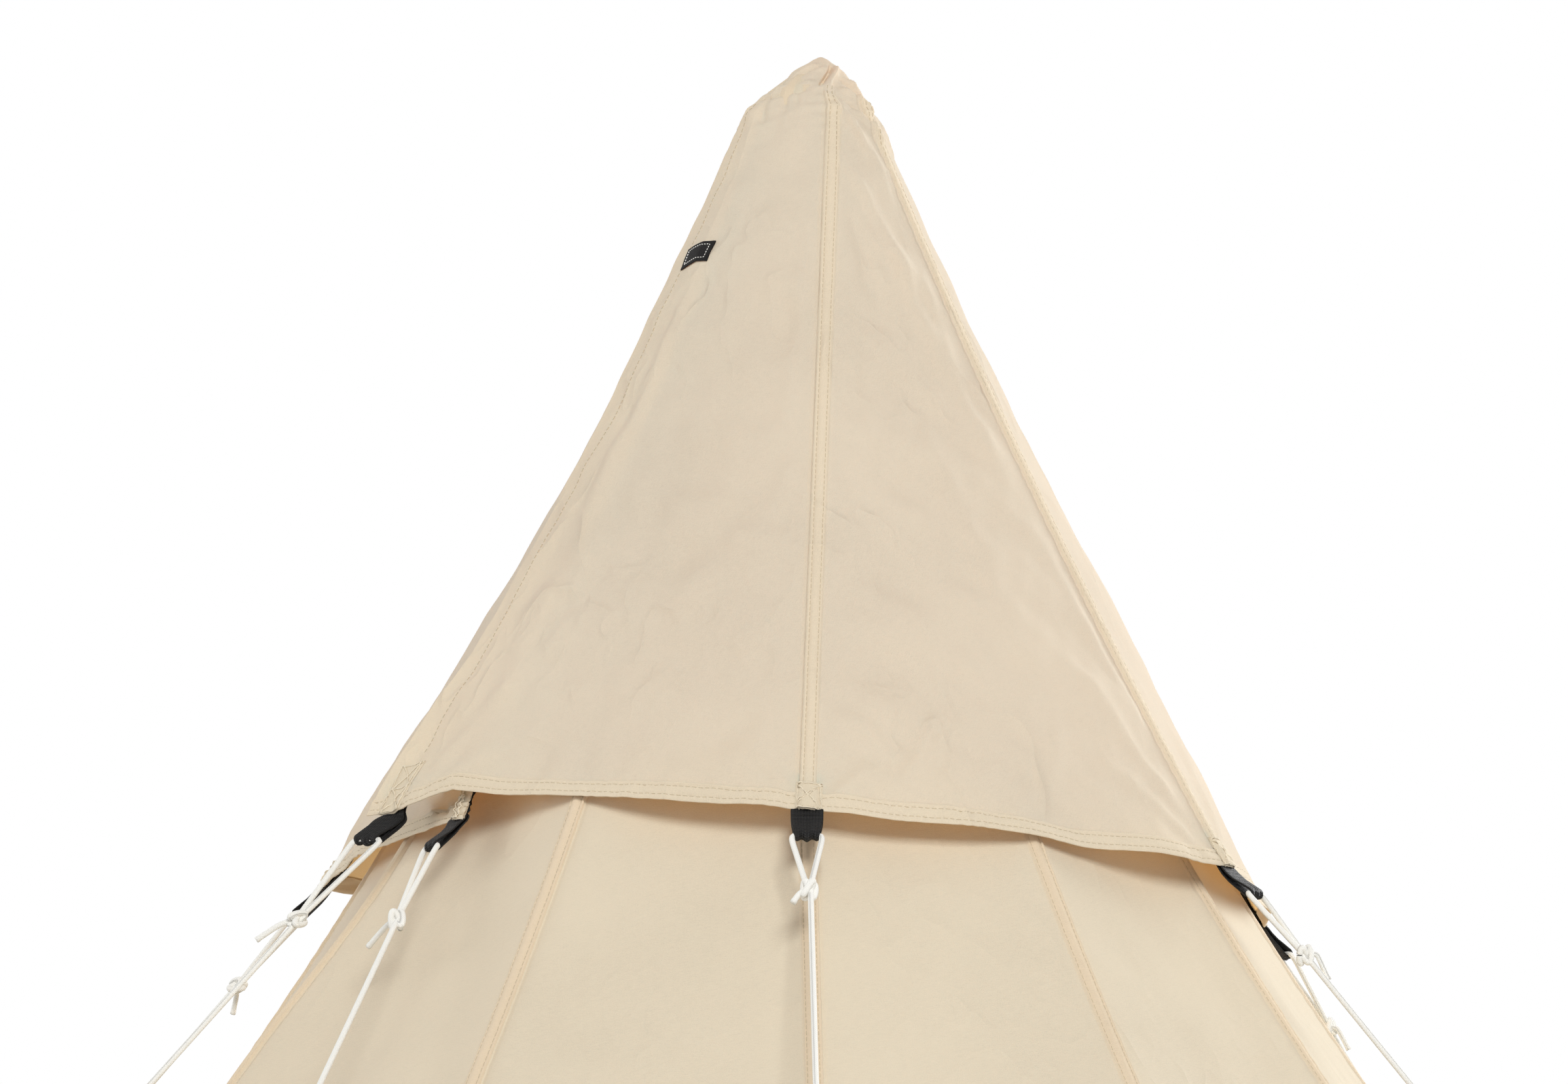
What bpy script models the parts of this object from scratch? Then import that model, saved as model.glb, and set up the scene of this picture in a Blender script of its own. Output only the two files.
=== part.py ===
"""A twelve-panel canvas teepee on one centre pole, with a wrap-around rain cap held out by guy lines.

Metres, +Z up. The origin is on the ground at the foot of the pole. An azimuth of 0 is the front, -Y,
and azimuths grow anticlockwise seen from above, so that 90 is the +X side, where the door is.
"""

import math

import bmesh
import bpy
from mathutils import Matrix, Vector

HEIGHT = 2.5  # ground to the peak of the rain cap
SEAM_STEP = 30  # degrees between the wall's seams
BASE_RADIUS = 1.725  # wall, out to a seam, at the ground
WALL_SLOPE = 0.786  # how far the wall leans in for each metre that it rises
CLOTH = 0.0018  # thickness of the canvas solids
SEAM_GAP = 0.0008  # each canvas solid stops this far short of a seam that it shares
TOUCH_GAP = 0.0003

WALL_FOOT = 0.004  # height of the wall's lower edge
WALL_BEND = 1.40  # the wall is straight up to here and curves to the crown above it
CROWN_LEVEL = 2.44  # the height where the wall turns over the crown
CROWN_WALL_RADIUS = 0.050
CROWN_SLOPE = 0.36  # the wall's lean where it reaches the crown

DOOR_AZIMUTH = 90
DOOR_TOP = WALL_BEND
DOOR_FOOT = 0.036  # the flaps hang just above the threshold webbing
DOOR_TIP = 1.365  # the flaps' cloth ends here, under the point of the opening
HINGE_GAP = 0.001  # from the hinge line to the cloth on each side
SLIDER_HEIGHT = 0.066
SLIDER_SHIFT = 0.010  # the slider's middle, from the zip along the flap

CAP_DOME = 0.058  # the cap's rounded peak is this deep
CAP_PATH = ((0.0, 0.003), (0.010, 0.021), (0.028, 0.043), (0.058, 0.059))  # depth below the peak, radius
# corners of the cap's hem: azimuth, radius, height
CAP_CORNERS = {
    "left_outer": (-60.0, 0.387, 1.818),
    "overlap": (-50.0, 0.368, 1.832),
    "front": (-0.6, 0.380, 1.800),
    "right": (60.0, 0.386, 1.775),
    "right_rear": (112.0, 0.430, 1.757),
    "rear": (180.0, 0.460, 1.765),
    "left_rear": (252.0, 0.4475, 1.790),
    "left_inner": (308.9, 0.3686, 1.809),
}
CAP_FRONT = ("left_outer", "overlap", "front", "right")
CAP_REAR = ("right", "right_rear", "rear", "left_rear", "left_inner")
UNDERLAP_DROP = 0.006  # the inner layer runs this far under the outer one
CORNER_FLAT = 0.0135  # half the width of the flat that the webbing makes of a corner
LABEL_TURN = 6  # degrees from the outer layer's free edge to the patch
LABEL_SHARE = 0.222  # its height, as a share of the way from the dome to the hem
LABEL_SIZE = (0.032, 0.024, 0.001)

WEBBING_WIDTH = 0.025
WEBBING_THICK = 0.0014
LOOP_SEWN = 0.036  # length of webbing sewn inside the cap, its two ends one on the other
LOOP_STRAIGHT = 0.003  # it goes on along the cloth this far below the hem
LOOP_REACH = 0.030  # how far the loop stands out past the hem
LOOP_EYE = 0.0032  # half the height of the loop's eye

GUY_RADIUS = 0.00225
# cap corner that each guy line leaves, azimuth of its peg
GUYS = {
    "front": 1.0,
    "right": 50.0,
    "right_rear": 127.0,
    "rear": 181.0,
    "left_rear": 260.0,
    "left_inner": -27.0,
    "left_outer": -62.0,
}
GUY_PEG_RADIUS = 2.0  # peg to pole, at the ground
GUY_PEG_HEIGHT = 0.022  # the line goes round the peg here
BIGHT_RADIUS = 0.0100  # the line's turn round its peg
TAIL_LENGTH = 0.42  # from the peg back up to the line's tied end
RUNNER_REST = 0.17  # runner above the peg, along the line
RUNNER_SIZE = (0.046, 0.018, 0.010)
RUNNER_BORE = 0.0031

PEG_ROD = 0.0035
PEG_LEAN = math.radians(30)
PEG_TIP = -0.155  # every peg reaches this depth
BASE_PEG_RADIUS = 1.770
PEG_NECK = 0.024  # from where a peg holds its loop up to its hook
PEG_HOOK = 0.011
BAND_GAP = 0.0012  # between the wall and the webbing round its foot
BAND_THICK = 0.0022
BAND_HEIGHT = 0.025
BASE_LOOP_REACH = 0.060
BASE_LOOP_EYE = 0.0095
BASE_LOOP_RIM = 0.0018

POLE_RADIUS = 0.016
POLE_WALL = 0.0016
POLE_JOINTS = (0.022, 0.825, 1.630, 2.425)  # foot, two joints, crown
SPIGOT_LENGTH = 0.070
SHEET_RADIUS = 1.66
SHEET_THICK = 0.0016


def clear_scene():
    for obj in list(bpy.data.objects):
        bpy.data.objects.remove(obj, do_unlink=True)


def make_material(name, colour, roughness, metallic=0.0):
    material = bpy.data.materials.new(name)
    material.use_nodes = True
    shader = material.node_tree.nodes["Principled BSDF"]
    shader.inputs["Base Color"].default_value = (*colour, 1.0)
    shader.inputs["Roughness"].default_value = roughness
    shader.inputs["Metallic"].default_value = metallic
    material.diffuse_color = (*colour, 1.0)
    return material


def add_object(name, data, material, place=None, smooth=None):
    """Links the data as an object, with its own copy of the material."""
    own = material.copy()
    own.name = name
    data.materials.append(own)
    obj = bpy.data.objects.new(name, data)
    bpy.context.scene.collection.objects.link(obj)
    if place is not None:
        obj.matrix_world = place
    if smooth is not None:
        data.shade_smooth()
        data.set_sharp_from_angle(angle=math.radians(smooth))
    return obj


def mesh_from(name, points, faces, weld=0.0):
    mesh = bpy.data.meshes.new(name)
    mesh.from_pydata([tuple(p) for p in points], [], faces)
    edit = bmesh.new()
    edit.from_mesh(mesh)
    if weld:
        bmesh.ops.remove_doubles(edit, verts=edit.verts, dist=weld)
    bmesh.ops.recalc_face_normals(edit, faces=edit.faces)
    edit.to_mesh(mesh)
    edit.free()
    return mesh


def ray(azimuth):
    """The level unit vector that points away from the pole at an azimuth in degrees."""
    angle = math.radians(azimuth)
    return Vector((math.sin(angle), -math.cos(angle), 0.0))


def along(azimuth):
    """The level unit vector in which the azimuth grows."""
    angle = math.radians(azimuth)
    return Vector((math.cos(angle), math.sin(angle), 0.0))


def polar(azimuth, radius, height):
    return ray(azimuth) * radius + Vector((0.0, 0.0, height))


def frame_at(origin, x_axis, z_axis):
    """A matrix that puts a shape's own Z on z_axis and its X as near as possible to x_axis."""
    z = z_axis.normalized()
    y = z.cross(x_axis).normalized()
    x = y.cross(z)
    return Matrix.Translation(origin) @ Matrix((x, y, z)).transposed().to_4x4()


def smooth_step(t):
    t = min(max(t, 0.0), 1.0)
    return t * t * (3 - 2 * t)


def cloth_solid(name, points, faces, material):
    """Cloth whose outer face is the given surface, with its thickness on the side of the pole."""
    mesh = mesh_from(name, points, faces, weld=1e-5)
    middle = mesh.polygons[len(mesh.polygons) // 2]
    if middle.normal.dot(Vector((middle.center.x, middle.center.y, 0.0))) < 0:
        mesh.flip_normals()
    obj = add_object(name, mesh, material, smooth=25)
    thicken = obj.modifiers.new("Thickness", "SOLIDIFY")
    thicken.thickness = CLOTH
    thicken.offset = -1
    thicken.use_even_offset = True
    return obj


def prism(name, outlines, depth, material, place):
    """A flat shape with holes, extruded both ways from its own XY plane."""
    curve = bpy.data.curves.new(name, "CURVE")
    curve.dimensions = "2D"
    curve.fill_mode = "BOTH"
    curve.extrude = depth / 2
    for outline in outlines:
        spline = curve.splines.new("POLY")
        spline.points.add(len(outline) - 1)
        for point, (x, y) in zip(spline.points, outline):
            point.co = (x, y, 0.0, 1.0)
        spline.use_cyclic_u = True
    return add_object(name, curve, material, place)


def tube(name, route, radius, material, sides=2):
    curve = bpy.data.curves.new(name, "CURVE")
    curve.dimensions = "3D"
    curve.bevel_depth = radius
    curve.bevel_resolution = sides
    curve.use_fill_caps = True
    spline = curve.splines.new("POLY")
    spline.points.add(len(route) - 1)
    for point, place in zip(spline.points, route):
        point.co = (*place, 1.0)
    return add_object(name, curve, material)


def turned(name, profile, segments, material, place=None, closed=True):
    """A profile of (radius, height) turned round the Z axis; a closed one leaves a bore."""
    points = []
    for radius, height in profile:
        for k in range(segments if radius > 0 else 1):
            angle = 2 * math.pi * k / segments
            points.append((radius * math.cos(angle), radius * math.sin(angle), height))
    rings, start = [], 0
    for radius, _ in profile:
        size = segments if radius > 0 else 1
        rings.append(list(range(start, start + size)) * (segments if size == 1 else 1))
        start += size
    pairs = list(zip(rings, rings[1:] + rings[:1] if closed else rings[1:]))
    faces = []
    for low, high in pairs:
        for k in range(segments):
            n = (k + 1) % segments
            face = list(dict.fromkeys((low[k], low[n], high[n], high[k])))
            if len(face) > 2:
                faces.append(face)
    return add_object(name, mesh_from(name, points, faces), material, place, smooth=35)


# ---------------------------------------------------------------- canvas wall and door


def wall_radius(height):
    """Pole to a seam, outside the wall."""
    if height <= WALL_BEND:
        return BASE_RADIUS - WALL_SLOPE * height
    span = CROWN_LEVEL - WALL_BEND
    t = (height - WALL_BEND) / span
    start = BASE_RADIUS - WALL_SLOPE * WALL_BEND
    rise_start, rise_end = -WALL_SLOPE * span, -CROWN_SLOPE * span
    return (
        (2 * t**3 - 3 * t**2 + 1) * start
        + (t**3 - 2 * t**2 + t) * rise_start
        + (3 * t**2 - 2 * t**3) * CROWN_WALL_RADIUS
        + (t**3 - t**2) * rise_end
    )


def wall_levels():
    """(height, radius) pairs up the wall and over the crown."""
    straight = [WALL_FOOT, WALL_BEND]
    curved = [WALL_BEND + (CROWN_LEVEL - WALL_BEND) * k / 8 for k in range(1, 9)]
    pairs = [(z, wall_radius(z)) for z in straight + curved]
    return pairs + [(2.464, 0.038), (2.4805, 0.018), (2.4865, 0.005)]


def door_side(side):
    """The hinge line of one flap, as its foot on the ground and its top: side is -1 or 1."""
    corner = polar(DOOR_AZIMUTH + side * SEAM_STEP, BASE_RADIUS, 0.0)
    centre = polar(DOOR_AZIMUTH, BASE_RADIUS, 0.0)
    return (corner + centre) / 2, polar(DOOR_AZIMUTH, wall_radius(DOOR_TOP), DOOR_TOP)


def door_chord(side):
    """The level direction from the door's middle seam along the panel on one side."""
    corner = polar(DOOR_AZIMUTH + side * SEAM_STEP, BASE_RADIUS, 0.0)
    return (corner - polar(DOOR_AZIMUTH, BASE_RADIUS, 0.0)).normalized()


def on_line(foot, top, height):
    return foot.lerp(top, (height - foot.z) / (top.z - foot.z))


def wall_strip(azimuths, ends):
    """Grid of the wall over neighbouring seams. ends gives, for the first and the last column, the shift
    along the wall or the door's side that the column follows below the door's top."""
    points, faces = [], []
    columns = len(azimuths)
    for height, radius in wall_levels():
        for k, azimuth in enumerate(azimuths):
            place = polar(azimuth, radius, height)
            end = ends[0] if k == 0 else ends[1] if k == columns - 1 else 0.0
            if isinstance(end, tuple):
                side = end[0]
                if height < DOOR_TOP - 1e-6:
                    foot, top = door_side(side)
                    place = on_line(foot, top, height) + door_chord(side) * HINGE_GAP
            else:
                place += along(azimuth) * end * min(1.0, radius / 0.02)
            points.append(place)
    for row in range(len(wall_levels()) - 1):
        for k in range(columns - 1):
            a = row * columns + k
            faces.append((a, a + 1, a + 1 + columns, a + columns))
    return points, faces


def build_wall(material):
    plain = {"wall_front": -30, "wall_rear": 150, "wall_left": 240}
    for name, first in plain.items():
        seams = [first + SEAM_STEP * k for k in range(4)]
        points, faces = wall_strip(seams, (SEAM_GAP, -SEAM_GAP))
        cloth_solid(name, points, faces, material)
    near = wall_strip([60, 90], (SEAM_GAP, (-1,)))
    far = wall_strip([90, 120, 150], ((1,), -SEAM_GAP))
    offset = len(near[0])
    points = near[0] + far[0]
    faces = near[1] + [tuple(i + offset for i in face) for face in far[1]]
    cloth_solid("wall_door_side", points, faces, material)


def build_flap(name, side, material):
    """A triangular door flap between its hinge line and the zip."""
    foot, top = door_side(side)
    zip_foot = polar(DOOR_AZIMUTH, BASE_RADIUS, 0.0)
    inward = -door_chord(side)
    corners = [
        on_line(foot, top, DOOR_FOOT) + inward * HINGE_GAP,
        on_line(zip_foot, top, DOOR_FOOT) - inward * 2 * SEAM_GAP,
        on_line(zip_foot, top, DOOR_TIP) - inward * 2 * SEAM_GAP,
        on_line(foot, top, DOOR_TIP) + inward * HINGE_GAP,
    ]
    flap = cloth_solid(name, corners, [(0, 1, 2, 3)], material)
    hinge = bpy.data.objects.new(name + "_hinge", None)
    bpy.context.scene.collection.objects.link(hinge)
    hinge.matrix_world = frame_at(foot, inward, top - foot)
    flap.parent = hinge
    flap.matrix_parent_inverse = hinge.matrix_world.inverted()


def build_zip_slider(material):
    """The slider rides on the flap on the side of smaller azimuth, next to the zip."""
    zip_foot = polar(DOOR_AZIMUTH, BASE_RADIUS, 0.0)
    top = polar(DOOR_AZIMUTH, wall_radius(DOOR_TOP), DOOR_TOP)
    up = (top - zip_foot).normalized()
    chord = door_chord(-1)
    outward = up.cross(chord).normalized()
    if outward.x < 0:
        outward = -outward
    thick = 0.004
    place = on_line(zip_foot, top, SLIDER_HEIGHT) + chord * SLIDER_SHIFT
    place += outward * (thick / 2 + TOUCH_GAP)
    outline = [(-0.004, 0.0), (0.004, 0.0), (0.006, 0.008), (0.004, 0.015), (0.002, 0.017)]
    outline += [(0.0035, 0.024), (0.0035, 0.052), (0.0015, 0.055)]
    outline += [(-x, y) for x, y in reversed(outline)]
    matrix = Matrix.Translation(place) @ Matrix((chord, up, chord.cross(up))).transposed().to_4x4()
    prism("zip_slider", [outline], thick, material, matrix)


# ---------------------------------------------------------------- rain cap


def cap_radius(depth):
    """Peak-to-hem profile of the cap's corners before the guy lines pull on them."""
    for (d0, r0), (d1, r1) in zip(CAP_PATH, CAP_PATH[1:]):
        if depth <= d1:
            return r0 + (r1 - r0) * (depth - d0) / (d1 - d0)
    run = depth - CAP_DOME
    return CAP_PATH[-1][1] + 0.407 * run + 0.1159 * (depth**2 - CAP_DOME**2)


def corner_point(name, share):
    """A corner of the cap at a share of the way from its dome, 0, to its hem, 1."""
    azimuth, radius, height = CAP_CORNERS[name]
    hem = HEIGHT - height
    depth = CAP_DOME + (hem - CAP_DOME) * share
    pull = 1 + (radius / cap_radius(hem) - 1) * smooth_step(depth / hem)
    return azimuth, cap_radius(depth) * pull, HEIGHT - depth


def cap_columns(names, share):
    """(azimuth, radius, height) of each column: two at a corner and two between corners."""
    columns = []
    flat = CORNER_FLAT * (0.15 + 0.85 * share)
    for index, name in enumerate(names):
        azimuth, radius, height = corner_point(name, share)
        half = math.degrees(flat / radius)
        if name == "overlap":
            half = 0.4
        joined = name == "right"
        gap = math.degrees(SEAM_GAP / radius)
        spread = [(azimuth - half, radius), (azimuth + half, radius)]
        if joined:
            spread = [(azimuth - half, radius), (azimuth - gap, radius)]
            if index == 0:
                spread = [(azimuth + gap, radius), (azimuth + half, radius)]
        if columns:
            a0, r0, z0 = columns[-1]
            a1, r1 = spread[0]
            p0, p1 = polar(a0, r0, 0.0), polar(a1, r1, 0.0)
            roundness = 1 - 0.4 * smooth_step(share / 0.45)
            for u in (1 / 3, 2 / 3):
                chord = p0.lerp(p1, u)
                radius_round = r0 + (r1 - r0) * u
                turn = math.degrees(math.atan2(chord.x, -chord.y))
                middle = a0 + (a1 - a0) * u
                turn += 360 * round((middle - turn) / 360)
                blended = chord.length * (1 - roundness) + radius_round * roundness
                columns.append((turn, blended, z0 + (height - z0) * u))
        columns += [(a, r, height) for a, r in spread]
    return columns


def build_cap_part(name, names, material):
    shares = [0.0, 0.08, 0.18, 0.3, 0.44, 0.6, 0.8, 1.0]
    rows = []
    widest = cap_columns(names, 0.0)
    under = CAP_CORNERS["left_outer"][0] + 360
    for depth, radius in CAP_PATH[:-1]:
        share = radius / CAP_PATH[-1][1]
        rows.append([(a, r * share, HEIGHT - depth) for a, r, _ in widest])
    rows += [cap_columns(names, share) for share in shares]
    points, faces = [], []
    for index, row in enumerate(rows):
        for azimuth, radius, height in row:
            if names == CAP_REAR:
                slide = smooth_step((azimuth - (under - 42)) / 40)
                radius -= UNDERLAP_DROP * slide * min(1.0, radius / 0.059)
            points.append(polar(azimuth, radius, height))
    width = len(rows[0])
    for row in range(len(rows) - 1):
        for k in range(width - 1):
            beyond = names == CAP_REAR and rows[row][k + 1][0] > under - 1.5
            if row < 3 and beyond:
                continue
            a = row * width + k
            faces.append((a, a + 1, a + 1 + width, a + width))
    cloth_solid(name, points, faces, material)


def hem_corner(name):
    azimuth, radius, height = corner_point(name, 1.0)
    if name == "left_inner":
        radius -= UNDERLAP_DROP
    return azimuth, radius, height


def loop_slope(name):
    """The loop's slope in the upright plane through its corner, as (outward, up)."""
    _, radius, height = hem_corner(name)
    return Vector((GUY_PEG_RADIUS - radius, GUY_PEG_HEIGHT - height)).normalized()


def loop_route(name):
    """Centre line of a webbing loop in the upright plane through its corner, as (radius, height)."""
    _, radius, height = hem_corner(name)
    _, upper_radius, upper_height = corner_point(name, 0.9)
    if name == "left_inner":
        upper_radius -= UNDERLAP_DROP
    hem = Vector((radius, height))
    up_cloth = (Vector((upper_radius, upper_height)) - hem).normalized()
    out_cloth = Vector((up_cloth.y, -up_cloth.x))
    away = loop_slope(name)
    across = Vector((-away.y, away.x))
    outer = hem - out_cloth * (CLOTH + WEBBING_THICK / 2 + 0.0006)
    inner = outer - out_cloth * (WEBBING_THICK + 0.0008)
    eye = hem + away * LOOP_REACH
    turn = []
    for k in range(7):
        angle = math.pi * k / 6
        turn.append(eye + across * LOOP_EYE * math.cos(angle) + away * LOOP_EYE * math.sin(angle))
    route = [outer + up_cloth * LOOP_SEWN, outer - up_cloth * LOOP_STRAIGHT]
    route += turn
    return route + [inner - up_cloth * LOOP_STRAIGHT, inner + up_cloth * LOOP_SEWN]


def strap_outline(route, thickness):
    """The outline of a strap of that thickness seen edge-on along its centre line."""
    sides = ([], [])
    for k, place in enumerate(route):
        before = route[max(k - 1, 0)]
        after = route[min(k + 1, len(route) - 1)]
        first = (place - before).normalized() if k else (after - place).normalized()
        last = (after - place).normalized() if k < len(route) - 1 else first
        normal = Vector((-(first + last).y, (first + last).x)).normalized()
        stretch = 1 / max(0.5, normal.dot(Vector((-first.y, first.x))))
        for side, sign in zip(sides, (1, -1)):
            side.append(place + normal * sign * stretch * thickness / 2)
    return [tuple(p) for p in sides[0] + sides[1][::-1]]


def build_loop(name, material):
    azimuth, _, _ = hem_corner(name)
    outline = strap_outline(loop_route(name), WEBBING_THICK)
    turn = Matrix((ray(azimuth), Vector((0.0, 0.0, 1.0)), ray(azimuth).cross(Vector((0.0, 0.0, 1.0)))))
    prism("webbing_loop_" + name, [outline], WEBBING_WIDTH - 0.001, material, turn.transposed().to_4x4())


def build_label(material):
    """A blank cloth patch across the free edge of the cap's outer layer, high on the cap."""
    azimuth, radius, height = corner_point("left_outer", LABEL_SHARE)
    _, low_radius, low_height = corner_point("left_outer", LABEL_SHARE + 0.05)
    across = along(azimuth + LABEL_TURN)
    down = (polar(azimuth, low_radius, low_height) - polar(azimuth, radius, height)).normalized()
    inward = across.cross(down)
    place = polar(azimuth + LABEL_TURN, radius, height) - inward * 0.0012
    width, depth, thick = LABEL_SIZE
    outline = [(x * width / 2, y * depth / 2) for x, y in ((-1, -1), (1, -1), (1, 1), (-1, 1))]
    matrix = Matrix((across, down, inward)).transposed().to_4x4()
    prism("cap_label", [outline], thick, material, Matrix.Translation(place) @ matrix)


# ---------------------------------------------------------------- guy lines and pegs


def guy_axes(name):
    """Start, direction, the side on which the tail lies, and the centre of the turn round the peg."""
    azimuth, radius, height = hem_corner(name)
    away = loop_slope(name) * (LOOP_REACH + LOOP_EYE + GUY_RADIUS)
    start = polar(azimuth, radius + away.x, height + away.y)
    peg = polar(GUYS[name], GUY_PEG_RADIUS, GUY_PEG_HEIGHT)
    line = (peg - start).normalized()
    side = line.cross(Vector((0.0, 0.0, 1.0))).normalized()
    end = peg - side * BIGHT_RADIUS
    return start, (end - start).normalized(), side, end


def guy_route(name):
    """A guy line from its webbing loop down to the peg, round it and back through the runner."""
    start, line, side, end = guy_axes(name)
    length = (end - start).length
    route = [start + line * (length * k / 8) for k in range(9)]
    centre = end + side * BIGHT_RADIUS
    for k in range(1, 8):
        angle = math.pi * k / 8
        offset = line * BIGHT_RADIUS * math.sin(angle) - side * BIGHT_RADIUS * math.cos(angle)
        route.append(centre + offset)
    back = end + side * 2 * BIGHT_RADIUS
    return route + [back - line * (TAIL_LENGTH * k / 3) for k in range(4)]


def circle(centre, radius, steps):
    turn = 2 * math.pi / steps
    return [
        (centre[0] + radius * math.cos(turn * k), centre[1] + radius * math.sin(turn * k))
        for k in range(steps)
    ]


def build_runner(name, material):
    """A wooden bar with two bores, one on the line and one on its tail."""
    _, line, side, end = guy_axes(name)
    length, width, thick = RUNNER_SIZE
    outline = []
    for x, first in ((length / 2 - width / 2, -90), (-length / 2 + width / 2, 90)):
        for k in range(7):
            angle = math.radians(first + 30 * k)
            outline.append((x + width / 2 * math.cos(angle), width / 2 * math.sin(angle)))
    holes = [circle((x * BIGHT_RADIUS, 0.0), RUNNER_BORE, 12) for x in (-1, 1)]
    centre = end + side * BIGHT_RADIUS - line * RUNNER_REST
    place = frame_at(centre, side, line)
    prism("runner_" + name, [outline, *holes], thick, material, place)


def peg_route(azimuth, radius, height):
    """A rod driven at a lean away from the tent, hooked over at the top."""
    down = ray(azimuth) * -math.sin(PEG_LEAN) + Vector((0.0, 0.0, -math.cos(PEG_LEAN)))
    out = ray(azimuth) * math.cos(PEG_LEAN) + Vector((0.0, 0.0, -math.sin(PEG_LEAN)))
    hold = polar(azimuth, radius, height)
    neck = hold - down * PEG_NECK
    centre = neck + out * PEG_HOOK
    turn = []
    for k in range(7):
        angle = math.pi * k / 6
        turn.append(centre - (out * math.cos(angle) + down * math.sin(angle)) * PEG_HOOK)
    tip = hold + down * ((hold.z - PEG_TIP) / math.cos(PEG_LEAN))
    return [tip, hold, *turn, turn[-1] + down * 0.012]


def build_peg(name, azimuth, radius, height, material):
    tube(name, peg_route(azimuth, radius, height), PEG_ROD, material, sides=1)


def half_circle(azimuth, centre, radius):
    """Nine points round the side of the centre that is away from the pole."""
    out, side = ray(azimuth), along(azimuth)
    turn = [math.pi * k / 8 for k in range(9)]
    return [centre + (side * math.cos(angle) + out * math.sin(angle)) * radius for angle in turn]


def loop_centre(azimuth):
    return ray(azimuth) * (BASE_RADIUS + BASE_LOOP_REACH - BASE_LOOP_EYE)


def teardrop(azimuth):
    """The hole of a peg loop, seen from above."""
    side = along(azimuth) * 0.0015
    root = ray(azimuth) * (BASE_RADIUS + 0.010)
    points = half_circle(azimuth, loop_centre(azimuth), BASE_LOOP_EYE)
    return [(p.x, p.y) for p in [*points, root - side, root + side]]


def build_base_band(material):
    """The webbing round the wall's foot, with a loop for a peg at each seam."""
    inner_radius = BASE_RADIUS + BAND_GAP
    seams = [SEAM_STEP * k for k in range(360 // SEAM_STEP)]
    outer = []
    for azimuth in seams:
        root = ray(azimuth) * (inner_radius + BAND_THICK)
        side = along(azimuth) * 0.0060
        arc = half_circle(azimuth, loop_centre(azimuth), BASE_LOOP_EYE + BASE_LOOP_RIM)
        outer += [root - side, *arc[::-1], root + side]
    inner = [ray(azimuth) * inner_radius for azimuth in seams]
    outlines = [[(p.x, p.y) for p in outer], [(p.x, p.y) for p in inner]]
    outlines += [teardrop(azimuth) for azimuth in seams]
    place = Matrix.Translation((0.0, 0.0, WALL_FOOT + BAND_HEIGHT / 2))
    prism("base_webbing", outlines, BAND_HEIGHT, material, place)


# ---------------------------------------------------------------- pole and groundsheet


def build_pole(steel, rubber, wood):
    names = ("pole_lower", "pole_middle", "pole_upper")
    bore = POLE_RADIUS - POLE_WALL
    spigot = bore - TOUCH_GAP
    for index, name in enumerate(names):
        low, high = POLE_JOINTS[index], POLE_JOINTS[index + 1] - TOUCH_GAP
        profile = [(bore, low), (POLE_RADIUS, low), (POLE_RADIUS, high)]
        if index < 2:
            tip = high + SPIGOT_LENGTH
            profile += [(spigot, high), (spigot, tip), (spigot - POLE_WALL, tip)]
            profile += [(spigot - POLE_WALL, high - 0.002), (bore, high - 0.006)]
        else:
            profile += [(bore, high)]
        turned(name, profile, 20, steel)
    floor = SHEET_THICK + TOUCH_GAP
    rest = POLE_JOINTS[0] - TOUCH_GAP
    plug = bore - TOUCH_GAP
    foot = [(0, floor), (0.030, floor), (0.030, 0.007), (0.020, 0.016), (0.019, rest)]
    foot += [(plug, rest), (plug, rest + 0.030), (0, rest + 0.030)]
    turned("pole_foot", foot, 24, rubber, closed=False)
    seat = POLE_JOINTS[-1]
    crown = [(0, seat - 0.040), (plug, seat - 0.040), (plug, seat), (0.036, seat)]
    crown += [(0.0455, seat + 0.006), (0.0440, seat + 0.014), (0.030, seat + 0.036)]
    crown += [(0.014, seat + 0.0500), (0, seat + 0.0530)]
    turned("pole_crown", crown, 24, wood, closed=False)


def build_groundsheet(material):
    outline = [ray(SEAM_STEP * k) * SHEET_RADIUS for k in range(360 // SEAM_STEP)]
    place = Matrix.Translation((0.0, 0.0, SHEET_THICK / 2))
    prism("groundsheet", [[(p.x, p.y) for p in outline]], SHEET_THICK, material, place)


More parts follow.
